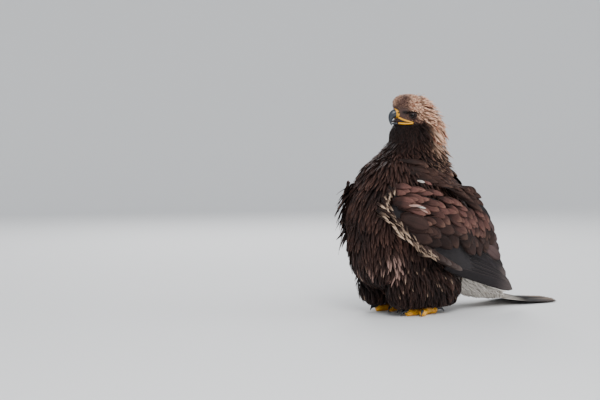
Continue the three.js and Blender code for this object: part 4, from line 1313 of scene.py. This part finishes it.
def tail_row(rng):
    place = np.linspace(-1, 1, TAIL_FEATHERS)[:, None]
    t = OUTLINE_SHARES["flight"][None, :]
    ends = TAIL_END - OUTER_LOSS * place**2 + rng.normal(0, TAIL_PLAY, TAIL_FEATHERS)[:, None]
    x = TAIL_START + (ends - TAIL_START) * t
    fall = FAN_FALL * place**2 * (1 - t) ** 2
    z = smooth(TAIL, 1, x) - fall + (1 - np.abs(place)) * FAN_CROWN + FAN_CLEARANCE
    paths = np.stack([x, place * (FAN_ROOT + FAN_GAIN * t), z], -1)
    outs = unit(np.stack([FAN_LEAN + 0 * x, FAN_TILT * place + 0 * x, 1 + 0 * x], -1))
    base, tint = same_colour(WHITE, TAIL_FEATHERS), same_colour(TAIL_TINT, TAIL_FEATHERS)
    fringe = blend(SLATE, CREAM, rng.random(TAIL_FEATHERS) * TAIL_FRINGE)
    return Row(paths, outs, np.full(TAIL_FEATHERS, TAIL_HALF), (base, tint, fringe))


def tail_covert_row(row, rng):
    """A row of coverts over the base of the tail."""
    place = (np.linspace(-1, 1, TAIL_COVERTS) + STAGGER * (row % 2) / TAIL_COVERTS)[:, None]
    t = OUTLINE_SHARES["covert"][None, :]
    x = TAIL_COVERT_START + TAIL_COVERT_STEP * row + 0 * place
    x = x + (TAIL_COVERT_LENGTH + TAIL_COVERT_GAIN * row) * t
    half_width, thick = smooth(TAIL, 2, x), smooth(TAIL, 3, x)
    side = np.clip(place, -1, 1) * TAIL_COVERT_SIDE
    edge = np.sqrt(np.clip(1 - side**2, TAIL_COVERT_EDGE, 1))
    z = smooth(TAIL, 1, x) + thick / 2 * edge + TAIL_COVERT_RISE * t
    outs = unit(np.stack([TAIL_COVERT_LEAN + 0 * x, side + 0 * x, edge + 0 * x], -1))
    looks = tail_covert_looks(row, np.abs(side[:, 0]), rng.random(TAIL_COVERTS))
    halves = rng.uniform(*TAIL_COVERT_WIDTHS, TAIL_COVERTS)
    return Row(np.stack([x, side * half_width, z], -1), outs, halves, looks)


def tail_covert_looks(row, aside, chance):
    white = smoothstep(*WHITE_SIDES, aside)
    tint = blend(WARM_BROWN, CREAM, chance * (PALE_LEAST + PALE_BY_ROW * row))
    tint, fringe = blend(tint, WHITE, white), blend(blend(STREAK_BROWN, CREAM, chance), WHITE, white)
    return tint * (TAIL_COVERT_SHADED_BASE + WHITE_BASE * white[:, None]), tint, fringe


# The bill and the mouth.

BILL_SIDES = 40
CERE_RINGS, UPPER_RINGS, LOWER_RINGS = 16, 26, 24
RIDGE_PINCH = 0.18
TIP_STEPS, TIP_LEAST = 5, 0.06
# The lower bill is yellow up to this ring, and horn beyond it.
JAW_SPLIT = 17
# The palate's line as forward and up, and its radii. Its dark colour is partly the mouth's own and partly
# painted shade inside the mouth.
PALATE = [(52, -22), (62, -22.5), (70, -23), (77, -25.5)]
PALATE_RADII, PALATE_SIDES = (5, 4.4, 3, 1.2), 16
# The nostril: forward and up, aside, half sizes of its hollow in x, y and z, its depth and its edge.
NOSTRIL, NOSTRIL_ASIDE = (62.5, -2.5), 10.9
HOLLOW, HOLLOW_DEPTH, HOLLOW_EDGE = np.array([3.4, 5.0, 2.6]), 2.6, (1.15, 0.45)
# The dark pit in each hollow is painted shade inside the nostril: its reach forward and back, its rise along
# that, how far it is sunk, its radius and sides.
PIT_REACH, PIT_RISE, PIT_SUNK, PIT_RADIUS, PIT_SIDES = 1.2, 0.7, 0.3, 1.5, 14
LIP_STEPS, LIP_SIDES, LIP_INSET = 14, 14, 0.4
# The gape is a dark line between the lips, partly the mouth's colour and partly painted shade in its slit.
GAPE_SIDES, GAPE_INSET, GAPE_RADII = 12, 1.6, (3.6, 0.8)


def bill_rings(rows, count):
    """Rings of a bill part. Its top narrows to a ridge."""
    top_f, top_u, low_f, low_u, half = curve_through(rows, count).T[:, :, None]
    angle = turn_angles(BILL_SIDES)[None, :]
    rise = np.cos(angle)
    width = np.sin(angle) * (1 - RIDGE_PINCH * np.maximum(rise, 0) ** 2)
    forward = (top_f + low_f) / 2 + rise * (top_f - low_f) / 2
    up = (top_u + low_u) / 2 + rise * (top_u - low_u) / 2
    return head_point(forward, width * half, up)


def tipped(rings, tip):
    """Rings carried on to a rounded tip."""
    last = rings[-1]
    middle = last.mean(axis=0)
    end = head_point(tip[0], 0.0, tip[1])
    more = []
    for share in np.linspace(0, 1, TIP_STEPS + 1)[1:]:
        size = max(math.sqrt(1 - share**2), TIP_LEAST)
        more.append(middle + (last - middle) * size + (end - middle) * share)
    return np.concatenate([rings, more])


def hollowed(rings, side):
    """The cere's rings with a hollow for one nostril."""
    forward, up = NOSTRIL
    hole = head_point(forward, -side * NOSTRIL_ASIDE, up)
    inward = unit(head_point(forward, 0.0, up) - hole)
    share = smoothstep(*HOLLOW_EDGE, np.linalg.norm((rings - hole) / HOLLOW, axis=-1))
    return rings + inward * (HOLLOW_DEPTH * share)[..., None]


# A dark pit in the cere's hollow, as painted shade inside the nostril.
def build_nostril_shade(side, dark):
    forward, up = NOSTRIL
    aside = -side * (NOSTRIL_ASIDE - PIT_SUNK)
    ends = [head_point(forward + a, aside, up + a * PIT_RISE) for a in (-PIT_REACH, PIT_REACH)]
    pit = tube(ends, [PIT_RADIUS] * len(ends), PIT_SIDES)
    add_solid("nostril_" + SIDE_NAMES[side], pit, dark, "horn")


def build_bill(horn, wax, dark):
    cere = bill_rings(CERE, CERE_RINGS)
    for side in (LEFT, RIGHT):
        cere = hollowed(cere, side)
    add_solid("cere_skin", loft(cere), wax, "cere_and_toes", "cere")
    upper = tipped(bill_rings(UPPER_BILL, UPPER_RINGS), HOOK_TIP)
    add_solid("bill_hook", loft(upper), horn, "horn", "bill_upper")
    lower = tipped(bill_rings(LOWER_BILL, LOWER_RINGS), LOWER_TIP)
    add_solid("bill_jaw", loft(lower[: JAW_SPLIT + 1]), wax, "cere_and_toes", "bill_lower")
    add_solid("bill_jaw_tip", loft(lower[JAW_SPLIT:]), horn, "horn", "bill_lower")
    # The palate fills the mouth between the mandibles, dark partly as painted shade inside it.
    palate = [head_point(forward, 0.0, up) for forward, up in PALATE]
    add_solid("palate", tube(palate, PALATE_RADII, PALATE_SIDES), dark, "horn")
    for side in (LEFT, RIGHT):
        build_nostril_shade(side, dark)
        build_lips(side, wax, dark)


def build_lips(side, wax, dark):
    name = SIDE_NAMES[side]
    for label, rows in (("lip_upper", UPPER_LIP), ("lip_lower", LOWER_LIP)):
        line = curve_through(cheek_line(side, rows, LIP_INSET), LIP_STEPS)
        radii = curve_through([row[2:] for row in rows], LIP_STEPS)[:, 0]
        add_solid(f"{label}_{name}", tube(line, radii, LIP_SIDES), wax, "cere_and_toes")
    # The gape between the lips is dark, partly as painted shade in the slit.
    between = (np.array(UPPER_LIP) + np.array(LOWER_LIP)) / 2
    line = curve_through(cheek_line(side, between, GAPE_INSET), LIP_STEPS)
    radii = np.linspace(*GAPE_RADII, LIP_STEPS)
    add_solid("gape_" + name, tube(line, radii, GAPE_SIDES), dark, "horn")


# The eyes.

GLOBE_RINGS, GLOBE_AROUND, POLE_GAP = 28, 40, 0.02
# The eye looks a little further forward and up than the head's side does.
LOOK_AHEAD = np.array([-0.18, 0, 0.02])
LID_AROUND, LID_SIDES, LID_THICK = 40, 10, 1.5
LID_WIDE, LID_TALL, LID_DROOP, LID_STAND = 9.0, 7.0, 0.82, 2


def level_and_over(out):
    """The level direction across an outward one, and the one over both."""
    level = unit(np.cross(out, UP))
    return level, np.cross(level, out)


def globe(middle, out, radius):
    """A ball with its pole along out, and the share of the way from pole to pole."""
    level, over = level_and_over(out)
    polar = np.linspace(POLE_GAP, np.pi - POLE_GAP, GLOBE_RINGS)
    turn = turn_angles(GLOBE_AROUND)[:, None]
    ring = level * np.cos(turn) + over * np.sin(turn)
    points = out * np.cos(polar)[:, None, None] + ring * np.sin(polar)[:, None, None]
    return loft(middle + radius * points), np.repeat(polar / np.pi, GLOBE_AROUND)


def band(rim, middle):
    """A closed round band along a loop."""
    outward = unit(rim - middle)
    across = np.cross(outward, unit(np.roll(rim, -1, axis=0) - np.roll(rim, 1, axis=0)))
    angle = turn_angles(LID_SIDES)[None, :, None]
    points = rim[:, None] + (outward[:, None] * np.cos(angle) + across[:, None] * np.sin(angle)) * LID_THICK
    faces = ring_faces(len(rim) + 1, LID_SIDES) % (len(rim) * LID_SIDES)
    return points.reshape(-1, 3), [faces]


def lid_shell(middle, out):
    """The rim of the opening between the lids, which is lower over the eye than a round one."""
    level, over = level_and_over(out)
    turn = turn_angles(LID_AROUND)
    droop = np.where(np.sin(turn) * over[2] > 0, LID_DROOP, 1.0)
    flat = level * (np.cos(turn) * LID_WIDE)[:, None] + over * (np.sin(turn) * LID_TALL * droop)[:, None]
    reach = np.linalg.norm(flat, axis=1)
    stand = np.sqrt(np.maximum(EYE_RADIUS**2 - reach**2, LID_STAND**2))
    return band(middle + flat + out * stand[:, None], middle)


def build_eye(side, wet, lid):
    middle, out = EYES[side]
    name = SIDE_NAMES[side]
    shell, polar = globe(middle, unit(out + LOOK_AHEAD), EYE_RADIUS)
    mesh = mesh_of("eyeball", *shell)
    set_point_values(mesh, "from_pupil", polar)
    add_piece("eyeball_" + name, mesh, wet, "eyes", "eye_" + name)
    add_solid("lid_" + name, lid_shell(middle, out), lid, "horn")


# The feet.

# Toes: bearing from straight ahead in degrees, reach, half thickness and length of the talon.
TOES = {
    "inner": (-34, 50, 9, 27),
    "middle": (4, 64, 9, 24),
    "outer": (42, 52, 8.5, 21),
    "hind": (176, 32, 9.5, 31),
}
ANKLE_X = 6
ANKLE_LEVELS, ANKLE_RADII, ANKLE_SIDES = (4, 10, 18, 24.4), (15, 15, 13.5, 12.5), 28
TOE_PROFILE = [(0, 1.3), (0.1, 1.25), (0.35, 0.92), (0.5, 1.05), (0.68, 0.86), (0.86, 1), (1, 0.7)]
TOE_STATIONS, TOE_SIDES, TOE_HEIGHT, TOE_FLOOR = 34, 20, 0.86, 0.1
# Scutes on top of a toe: their depth, spacing, where on its round they start, and how they stand out.
SCUTE_DEPTH, SCUTE_SPACING, SCUTE_TOP, SCUTE_RISE = 0.05, 5.5, (0.3, 0.9), 1.6
CLAW_STATIONS, CLAW_SIDES, CLAW_FLAT, CLAW_END = 22, 18, 1.1, 0.985
# The claw starts inside the toe's end, and curves over and down.
CLAW_BACK, CLAW_SWEEP = 5, math.radians(84)
CLAW_LOW, CLAW_FALL, CLAW_FALL_POWER, CLAW_ARCH = 2, 10, 0.8, 2.5
CLAW_THICK, CLAW_TAPER = 0.52, 0.7


def toe_shell(ankle, along, reach, thick):
    """A toe with scutes on its top."""
    shares = np.linspace(0, 1, TOE_STATIONS)
    scute = SCUTE_DEPTH * np.abs(np.sin(shares * np.pi * reach / SCUTE_SPACING))
    radii = thick * smooth(TOE_PROFILE, 1, shares)
    places = ankle + along * (shares * reach)[:, None]
    places[:, 2] = radii * TOE_HEIGHT
    points, faces = tube(places, radii, TOE_SIDES)
    level, size, rise = (np.repeat(column, TOE_SIDES) for column in (places[:, 2], radii, scute * radii))
    points[:, 2] += smoothstep(*SCUTE_TOP, (points[:, 2] - level) / size) * rise * SCUTE_RISE
    points[:, 2] = np.maximum(points[:, 2], TOE_FLOOR)
    return points, faces


def claw_shell(ankle, along, reach, thick, talon):
    t = np.linspace(0, CLAW_END, CLAW_STATIONS)
    places = ankle + along * (reach - CLAW_BACK + talon * np.sin(t * CLAW_SWEEP))[:, None]
    fall = np.cos(t * math.pi / 2) ** CLAW_FALL_POWER
    places[:, 2] = CLAW_LOW + CLAW_FALL * fall + CLAW_ARCH * np.sin(t * math.pi)
    return tube(places, thick * CLAW_THICK * (1 - t) ** CLAW_TAPER, CLAW_SIDES, CLAW_FLAT)


def build_foot(side, wax, horn):
    name = SIDE_NAMES[side]
    ankle = np.array([ANKLE_X, side * LEG_ASIDE, 0.0])
    shells = [tube([ankle + UP * z for z in ANKLE_LEVELS], ANKLE_RADII, ANKLE_SIDES)]
    for toe, (bearing, reach, thick, talon) in TOES.items():
        turn = math.radians(bearing)
        along = np.array([-math.cos(turn), side * math.sin(turn), 0.0])
        shells.append(toe_shell(ankle, along, reach, thick))
        claw = claw_shell(ankle, along, reach, thick, talon)
        add_solid(f"claw_{toe}_{name}", claw, horn, "horn", f"talon_{toe}_{name}")
    add_solid("toes_" + name, joined(shells), wax, "cere_and_toes", "foot_" + name)


# Finishes. Effects that several materials share are node groups.

COLOUR, NUMBER = "NodeSocketColor", "NodeSocketFloat"
# A vane's barbs: how they lean, differ, lighten and roughen it, and how closely they lie.
BARB_LEAN, BARB_SHIFT, BARB_LIGHT, BARB_ROUGH, BARBS = 0.22, 9.0, 0.26, 0.16, 150.0
VANE_LIGHT, VANE_ROUGH = 0.4, 0.52
# Its worn edge: noise, how much of that counts, how far in the sides it starts, where, and its cover.
EDGE_NOISE, EDGE_SHARE, EDGE_SIDE, EDGE_BAND, EDGE_COVER = (420, 3), 0.35, 0.86, (0.86, 1.16), 0.85
# Patches of wear: noise and its share. Where the base turns to the tint, and how uneven that line is.
WEAR_NOISE, WEAR_SHARE = (75, 4), 0.9
TINT_BAND, TINT_UNEVEN = (0.42, 0.74), 0.5
SHAFT_BAND, SHAFT_COVER, SHAFT_HEIGHT = (0.02, 0.12), 0.3, 1.5
# Fine grain: detail of its noise, where the dark sets in, and its pores.
GRAIN_DETAIL, GRAIN_BAND, PORE_RATE, PORE_HEIGHT = 5, (0.35, 0.7), 2.5, 0.6
UNDER_SHADE = (0.45, 0.42, 0.42)
# The eye, by share of the way from the pupil's middle: the pupil's edge and the iris's edge.
PUPIL_BAND, IRIS_BAND, IRIS_NOISE = (0.125, 0.14), (0.28, 0.32), 900


def node(tree, kind, **settings):
    made = tree.nodes.new(kind)
    for name, value in settings.items():
        setattr(made, name, value)
    return made


def feed(tree, socket, value):
    """A socket's value: another node's output, a colour or a number."""
    if isinstance(value, bpy.types.NodeSocket):
        tree.links.new(value, socket)
    else:
        socket.default_value = (*value[:3], 1) if np.ndim(value) else value


def feed_all(tree, made, values):
    for name, value in values.items():
        feed(tree, made.inputs[name], value)
    return made


def maths(tree, operation, *values):
    made = node(tree, "ShaderNodeMath", operation=operation)
    return feed_all(tree, made, dict(enumerate(values))).outputs[0]


def ramp_between(tree, value, band):
    """A soft rise from 0 to 1 over a band of a value."""
    made = node(tree, "ShaderNodeMapRange", interpolation_type="SMOOTHSTEP")
    return feed_all(tree, made, {"Value": value, "From Min": band[0], "From Max": band[1]}).outputs["Result"]


def mixed(tree, share, first, second, kind="MIX"):
    made = node(tree, "ShaderNodeMix", data_type="RGBA", blend_type=kind)
    return feed_all(tree, made, {"Factor": share, "A": first, "B": second}).outputs["Result"]


def noise(tree, scale, detail=2):
    made = node(tree, "ShaderNodeTexNoise")
    return feed_all(tree, made, {"Scale": scale, "Detail": detail}).outputs["Fac"]


def grey_of(tree, value):
    made = node(tree, "ShaderNodeCombineColor")
    return feed_all(tree, made, {"Red": value, "Green": value, "Blue": value}).outputs["Color"]


def new_group(name, inputs, outputs):
    """A node group, its inputs' sockets by name, and the node that takes its results."""
    tree = bpy.data.node_groups.new(name, "ShaderNodeTree")
    for in_out, sockets in (("INPUT", inputs), ("OUTPUT", outputs)):
        for label, kind in sockets.items():
            tree.interface.new_socket(name=label, in_out=in_out, socket_type=kind)
    return tree, node(tree, "NodeGroupInput").outputs, node(tree, "NodeGroupOutput")


def vane_barbs(tree, given, side):
    """Fine waves that lean back from the shaft, from 0 to 1."""
    run = maths(tree, "SUBTRACT", given["Along"], maths(tree, "MULTIPLY", side, BARB_LEAN))
    phase = maths(tree, "MULTIPLY", run, given["Barbs"])
    shift = maths(tree, "MULTIPLY", given["Chance"], BARB_SHIFT)
    return maths(tree, "MULTIPLY_ADD", maths(tree, "SINE", maths(tree, "ADD", phase, shift)), 0.5, 0.5)


def vane_body(tree, given, barb, edge):
    """The vane's colour without its fringe: the base, then the tint, with light and dark barbs and wear. On
    most feathers the base is painted shade at the root.
    """
    line = maths(tree, "ADD", given["Along"], maths(tree, "MULTIPLY", edge, TINT_UNEVEN))
    body = mixed(tree, ramp_between(tree, line, TINT_BAND), given["Base"], given["Tint"])
    patchy = maths(tree, "ADD", maths(tree, "MULTIPLY", noise(tree, *WEAR_NOISE), WEAR_SHARE), VANE_LIGHT)
    light = maths(tree, "ADD", maths(tree, "MULTIPLY", barb, BARB_LIGHT), patchy)
    return mixed(tree, 1.0, body, grey_of(tree, light), "MULTIPLY")


def barbed_vane_group():
    """A feather's colour, roughness and relief from its place along and across the vane."""
    inputs = {name: COLOUR for name in ("Base", "Tint", "Fringe")}
    inputs |= {name: NUMBER for name in ("Along", "Across", "Chance", "Barbs")}
    outputs = {"Colour": COLOUR, "Roughness": NUMBER, "Height": NUMBER}
    tree, given, result = new_group("Barbed vane", inputs, outputs)
    side = maths(tree, "ABSOLUTE", given["Across"])
    barb = vane_barbs(tree, given, side)
    edge = maths(tree, "MULTIPLY", noise(tree, *EDGE_NOISE), EDGE_SHARE)
    reach = maths(tree, "MAXIMUM", maths(tree, "MULTIPLY", side, EDGE_SIDE), given["Along"])
    mask = ramp_between(tree, maths(tree, "ADD", reach, edge), EDGE_BAND)
    shaft = maths(tree, "SUBTRACT", 1.0, ramp_between(tree, side, SHAFT_BAND))
    body = vane_body(tree, given, barb, edge)
    toned = mixed(tree, maths(tree, "MULTIPLY", mask, EDGE_COVER), body, given["Fringe"])
    rough = maths(tree, "ADD", maths(tree, "MULTIPLY", barb, BARB_ROUGH), VANE_ROUGH)
    height = maths(tree, "ADD", barb, maths(tree, "MULTIPLY", shaft, SHAFT_HEIGHT))
    colour = mixed(tree, maths(tree, "MULTIPLY", shaft, SHAFT_COVER), toned, SHAFT_COLOUR)
    feed_all(tree, result, {"Colour": colour, "Roughness": rough, "Height": height})
    return tree


def grain_group():
    """Fine mottling and pores, for horn, wax and skin."""
    inputs = {"Light": COLOUR, "Dark": COLOUR, "Scale": NUMBER, "Share": NUMBER}
    tree, given, result = new_group("Fine grain", inputs, {"Colour": COLOUR, "Height": NUMBER})
    mottling = noise(tree, given["Scale"], GRAIN_DETAIL)
    pores = node(tree, "ShaderNodeTexVoronoi")
    feed(tree, pores.inputs["Scale"], maths(tree, "MULTIPLY", given["Scale"], PORE_RATE))
    share = maths(tree, "MULTIPLY", ramp_between(tree, mottling, GRAIN_BAND), given["Share"])
    height = maths(tree, "ADD", mottling, maths(tree, "MULTIPLY", pores.outputs["Distance"], PORE_HEIGHT))
    feed_all(tree, result, {"Colour": mixed(tree, share, given["Light"], given["Dark"]), "Height": height})
    return tree


def new_material(name, **settings):
    """A material, its nodes and its shader, with the shader's own settings."""
    material = bpy.data.materials.new(name)
    material.use_nodes = True
    tree = material.node_tree
    named = {label.replace("_", " "): value for label, value in settings.items()}
    return material, tree, feed_all(tree, tree.nodes["Principled BSDF"], named)


def placed_group(tree, group, **values):
    return feed_all(tree, node(tree, "ShaderNodeGroup", node_tree=group), values)


def add_relief(tree, shader, height, strength, distance):
    bump = node(tree, "ShaderNodeBump")
    feed_all(tree, bump, {"Strength": strength, "Distance": distance, "Height": height})
    feed(tree, shader.inputs["Normal"], bump.outputs["Normal"])


def point_value(tree, name, output="Fac"):
    return node(tree, "ShaderNodeAttribute", attribute_name=name).outputs[output]


def feather_material(group):
    material, tree, shader = new_material("feather", Specular_IOR_Level=0.14)
    colours = {name.title(): point_value(tree, name, "Color") for name in LOOKS}
    places = {name.title(): point_value(tree, name) for name in ("along", "across", "chance")}
    vane = placed_group(tree, group, Barbs=BARBS, **colours, **places).outputs
    feed_all(tree, shader, {"Base Color": vane["Colour"], "Roughness": vane["Roughness"]})
    add_relief(tree, shader, vane["Height"], strength=0.35, distance=0.0004)
    return material


def grained_material(grain, name, colours, scale, share, relief, **settings):
    """A material with fine grain of two colours. Relief is its strength and distance."""
    material, tree, shader = new_material(name, **settings)
    fine = placed_group(tree, grain, Light=colours[0], Dark=colours[1], Scale=scale, Share=share).outputs
    feed(tree, shader.inputs["Base Color"], fine["Colour"])
    add_relief(tree, shader, fine["Height"], *relief)
    return material


def under_plumage_material(grain):
    material, tree, shader = new_material("under_plumage", Roughness=0.9)
    tint = point_value(tree, "tint", "Color")
    shade = mixed(tree, 1.0, tint, UNDER_SHADE, "MULTIPLY")
    fine = placed_group(tree, grain, Light=tint, Dark=shade, Scale=160.0, Share=0.5).outputs
    feed(tree, shader.inputs["Base Color"], fine["Colour"])
    add_relief(tree, shader, fine["Height"], strength=0.6, distance=0.001)
    return material


def wax_material(grain):
    shine = {"Roughness": 0.42, "Subsurface_Weight": 0.08, "Subsurface_Scale": 0.002}
    look = {"scale": 240.0, "share": 0.7, "relief": (0.3, 0.0006)}
    return grained_material(grain, "yellow_wax", WAX_COLOURS, **look, **shine)


def horn_material(grain, name, colours, roughness):
    look = {"scale": 90.0, "share": 0.9, "relief": (0.08, 0.0004)}
    return grained_material(grain, name, colours, **look, Roughness=roughness)


def eye_material():
    material, tree, shader = new_material("wet_eye", Roughness=0.12, Specular_IOR_Level=0.16)
    polar = point_value(tree, "from_pupil")
    iris = mixed(tree, noise(tree, IRIS_NOISE), *IRIS_COLOURS)
    whole = mixed(tree, ramp_between(tree, polar, PUPIL_BAND), PUPIL_COLOUR, iris)
    rimmed = mixed(tree, ramp_between(tree, polar, IRIS_BAND), whole, EYE_RIM_COLOUR)
    feed(tree, shader.inputs["Base Color"], rimmed)
    return material


# The studio, in metres.

FLOOR_RADIUS = 4.4
SWEEP_RADIUS = 2.4
WALL_HEIGHT = 3.4
FLOOR_HOLE = 0.001
FLOOR_AROUND, SWEEP_STEPS = 96, 24
FLOOR_COLOURS = (0.76, 0.76, 0.76), (0.79, 0.79, 0.79)
FLOOR_NOISE = 3
FLOOR_ROUGHNESS = 0.8
# Lamps: name, place, power and size.
LAMPS = [
    ("key", (-1.6, -2.4, 2.6), 95, 1.6),
    ("fill", (2.6, -2.2, 1.4), 36, 2.4),
    ("rim", (1.0, 2.6, 2.2), 60, 1.6),
]
LAMP_AIM = Vector((-0.1, 0.0, 0.3))
SKY_COLOUR = (0.86, 0.89, 0.93)
VIEW_TURN = math.radians(39)
VIEW_RISE = math.radians(3)
VIEW_DISTANCE = 3.6
VIEW_TARGET = Vector((-0.162, 0.0, 0.286))
LENS = 85
SENSOR = 36
TARGET_RIGHT_OF_MIDDLE = 105 / 600


def floor_mesh():
    """A floor that sweeps up into a round wall, with no edge between."""
    bend = np.linspace(0, np.pi / 2, SWEEP_STEPS)
    radii = [FLOOR_HOLE, *(FLOOR_RADIUS + SWEEP_RADIUS * np.sin(bend)), FLOOR_RADIUS + SWEEP_RADIUS]
    heights = [0.0, *(SWEEP_RADIUS * (1 - np.cos(bend))), WALL_HEIGHT]
    turn = turn_angles(FLOOR_AROUND)
    x, y = np.outer(radii, np.cos(turn)), np.outer(radii, np.sin(turn))
    rings = np.stack([x, y, np.array(heights)[:, None] + 0 * x], -1)
    mesh = bpy.data.meshes.new("floor")
    mesh.from_pydata(rings.reshape(-1, 3).tolist(), [], ring_faces(*rings.shape[:2]).tolist())
    mesh.shade_smooth()
    return mesh


def add_floor():
    mesh = floor_mesh()
    floor = add_object("floor", mesh)
    material, tree, shader = new_material("pale_floor", Roughness=FLOOR_ROUGHNESS)
    feed(tree, shader.inputs["Base Color"], mixed(tree, noise(tree, FLOOR_NOISE), *FLOOR_COLOURS))
    mesh.materials.append(material)


def light_studio():
    for name, place, power, size in LAMPS:
        data = bpy.data.lights.new(name, "AREA")
        data.energy, data.size = power, size
        lamp = add_object(name, data)
        lamp.location = place
        lamp.rotation_euler = (LAMP_AIM - Vector(place)).to_track_quat("-Z", "Y").to_euler()
    world = bpy.data.worlds.new("studio")
    world.use_nodes = True
    feed_all(world.node_tree, world.node_tree.nodes["Background"], {"Color": SKY_COLOUR, "Strength": 1.0})
    bpy.context.scene.world = world


def add_camera():
    data = bpy.data.cameras.new("camera")
    data.lens, data.sensor_width = LENS, SENSOR
    camera = add_object("camera", data)
    flat = math.cos(VIEW_RISE)
    back = Vector((-math.sin(VIEW_TURN) * flat, -math.cos(VIEW_TURN) * flat, math.sin(VIEW_RISE)))
    camera.location = VIEW_TARGET + back * VIEW_DISTANCE
    aside = Matrix.Rotation(math.atan(TARGET_RIGHT_OF_MIDDLE * SENSOR / LENS), 3, "Y")
    look = (-back).to_track_quat("-Z", "Y").to_matrix()
    camera.rotation_euler = (look @ aside).to_euler()
    bpy.context.scene.camera = camera


# The whole bird.

FLESH = ("head", "neck", "torso", "leg_left", "leg_right")
SKIN_SHADE, SKIN_CHANCE = 0.6, 0.5
HORN_ROUGHNESS, LINING_ROUGHNESS = 0.28, 0.75


def build_skin(under):
    """The skin in the colours of the plumage over it, which can be seen between feathers."""
    skin = make_skin()
    points = mesh_points(skin)
    _, tint, _ = markings(points, np.full(len(points), SKIN_CHANCE))
    ground = Ground(skin)
    set_point_values(skin, "tint", tint * SKIN_SHADE)
    add_piece("skin", skin, under, "brown_plumage", *FLESH)
    return ground


def build_tail(feather):
    rng = np.random.default_rng(TAIL_SEED)
    rows = [tail_row(rng)]
    vane_piece("rectrices", rows, "flight", feather, "flight_feathers", rng, "tail", vane=TAIL_VANE)
    rows = [tail_covert_row(row, rng) for row in range(TAIL_COVERT_ROWS)]
    vane_piece("tail_coverts", rows, "covert", feather, "brown_plumage", rng, "tail")


def build_bird():
    grain = grain_group()
    feather = feather_material(barbed_vane_group())
    under = under_plumage_material(grain)
    wax = wax_material(grain)
    horn = horn_material(grain, "blue_black_horn", HORN_COLOURS, HORN_ROUGHNESS)
    dark = horn_material(grain, "mouth_lining_and_shade", LINING_AND_SHADE_COLOURS, LINING_ROUGHNESS)
    wet = eye_material()
    ground = build_skin(under)
    for row in COAT:
        coat_piece(ground, feather, *row)
    for side in (LEFT, RIGHT):
        build_wing(side, feather, under)
        build_eye(side, wet, dark)
        build_foot(side, wax, horn)
    build_bill(horn, wax, dark)
    build_tail(feather)


def main():
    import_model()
    add_camera()
    light_studio()
    add_floor()
    build_bird()


main()
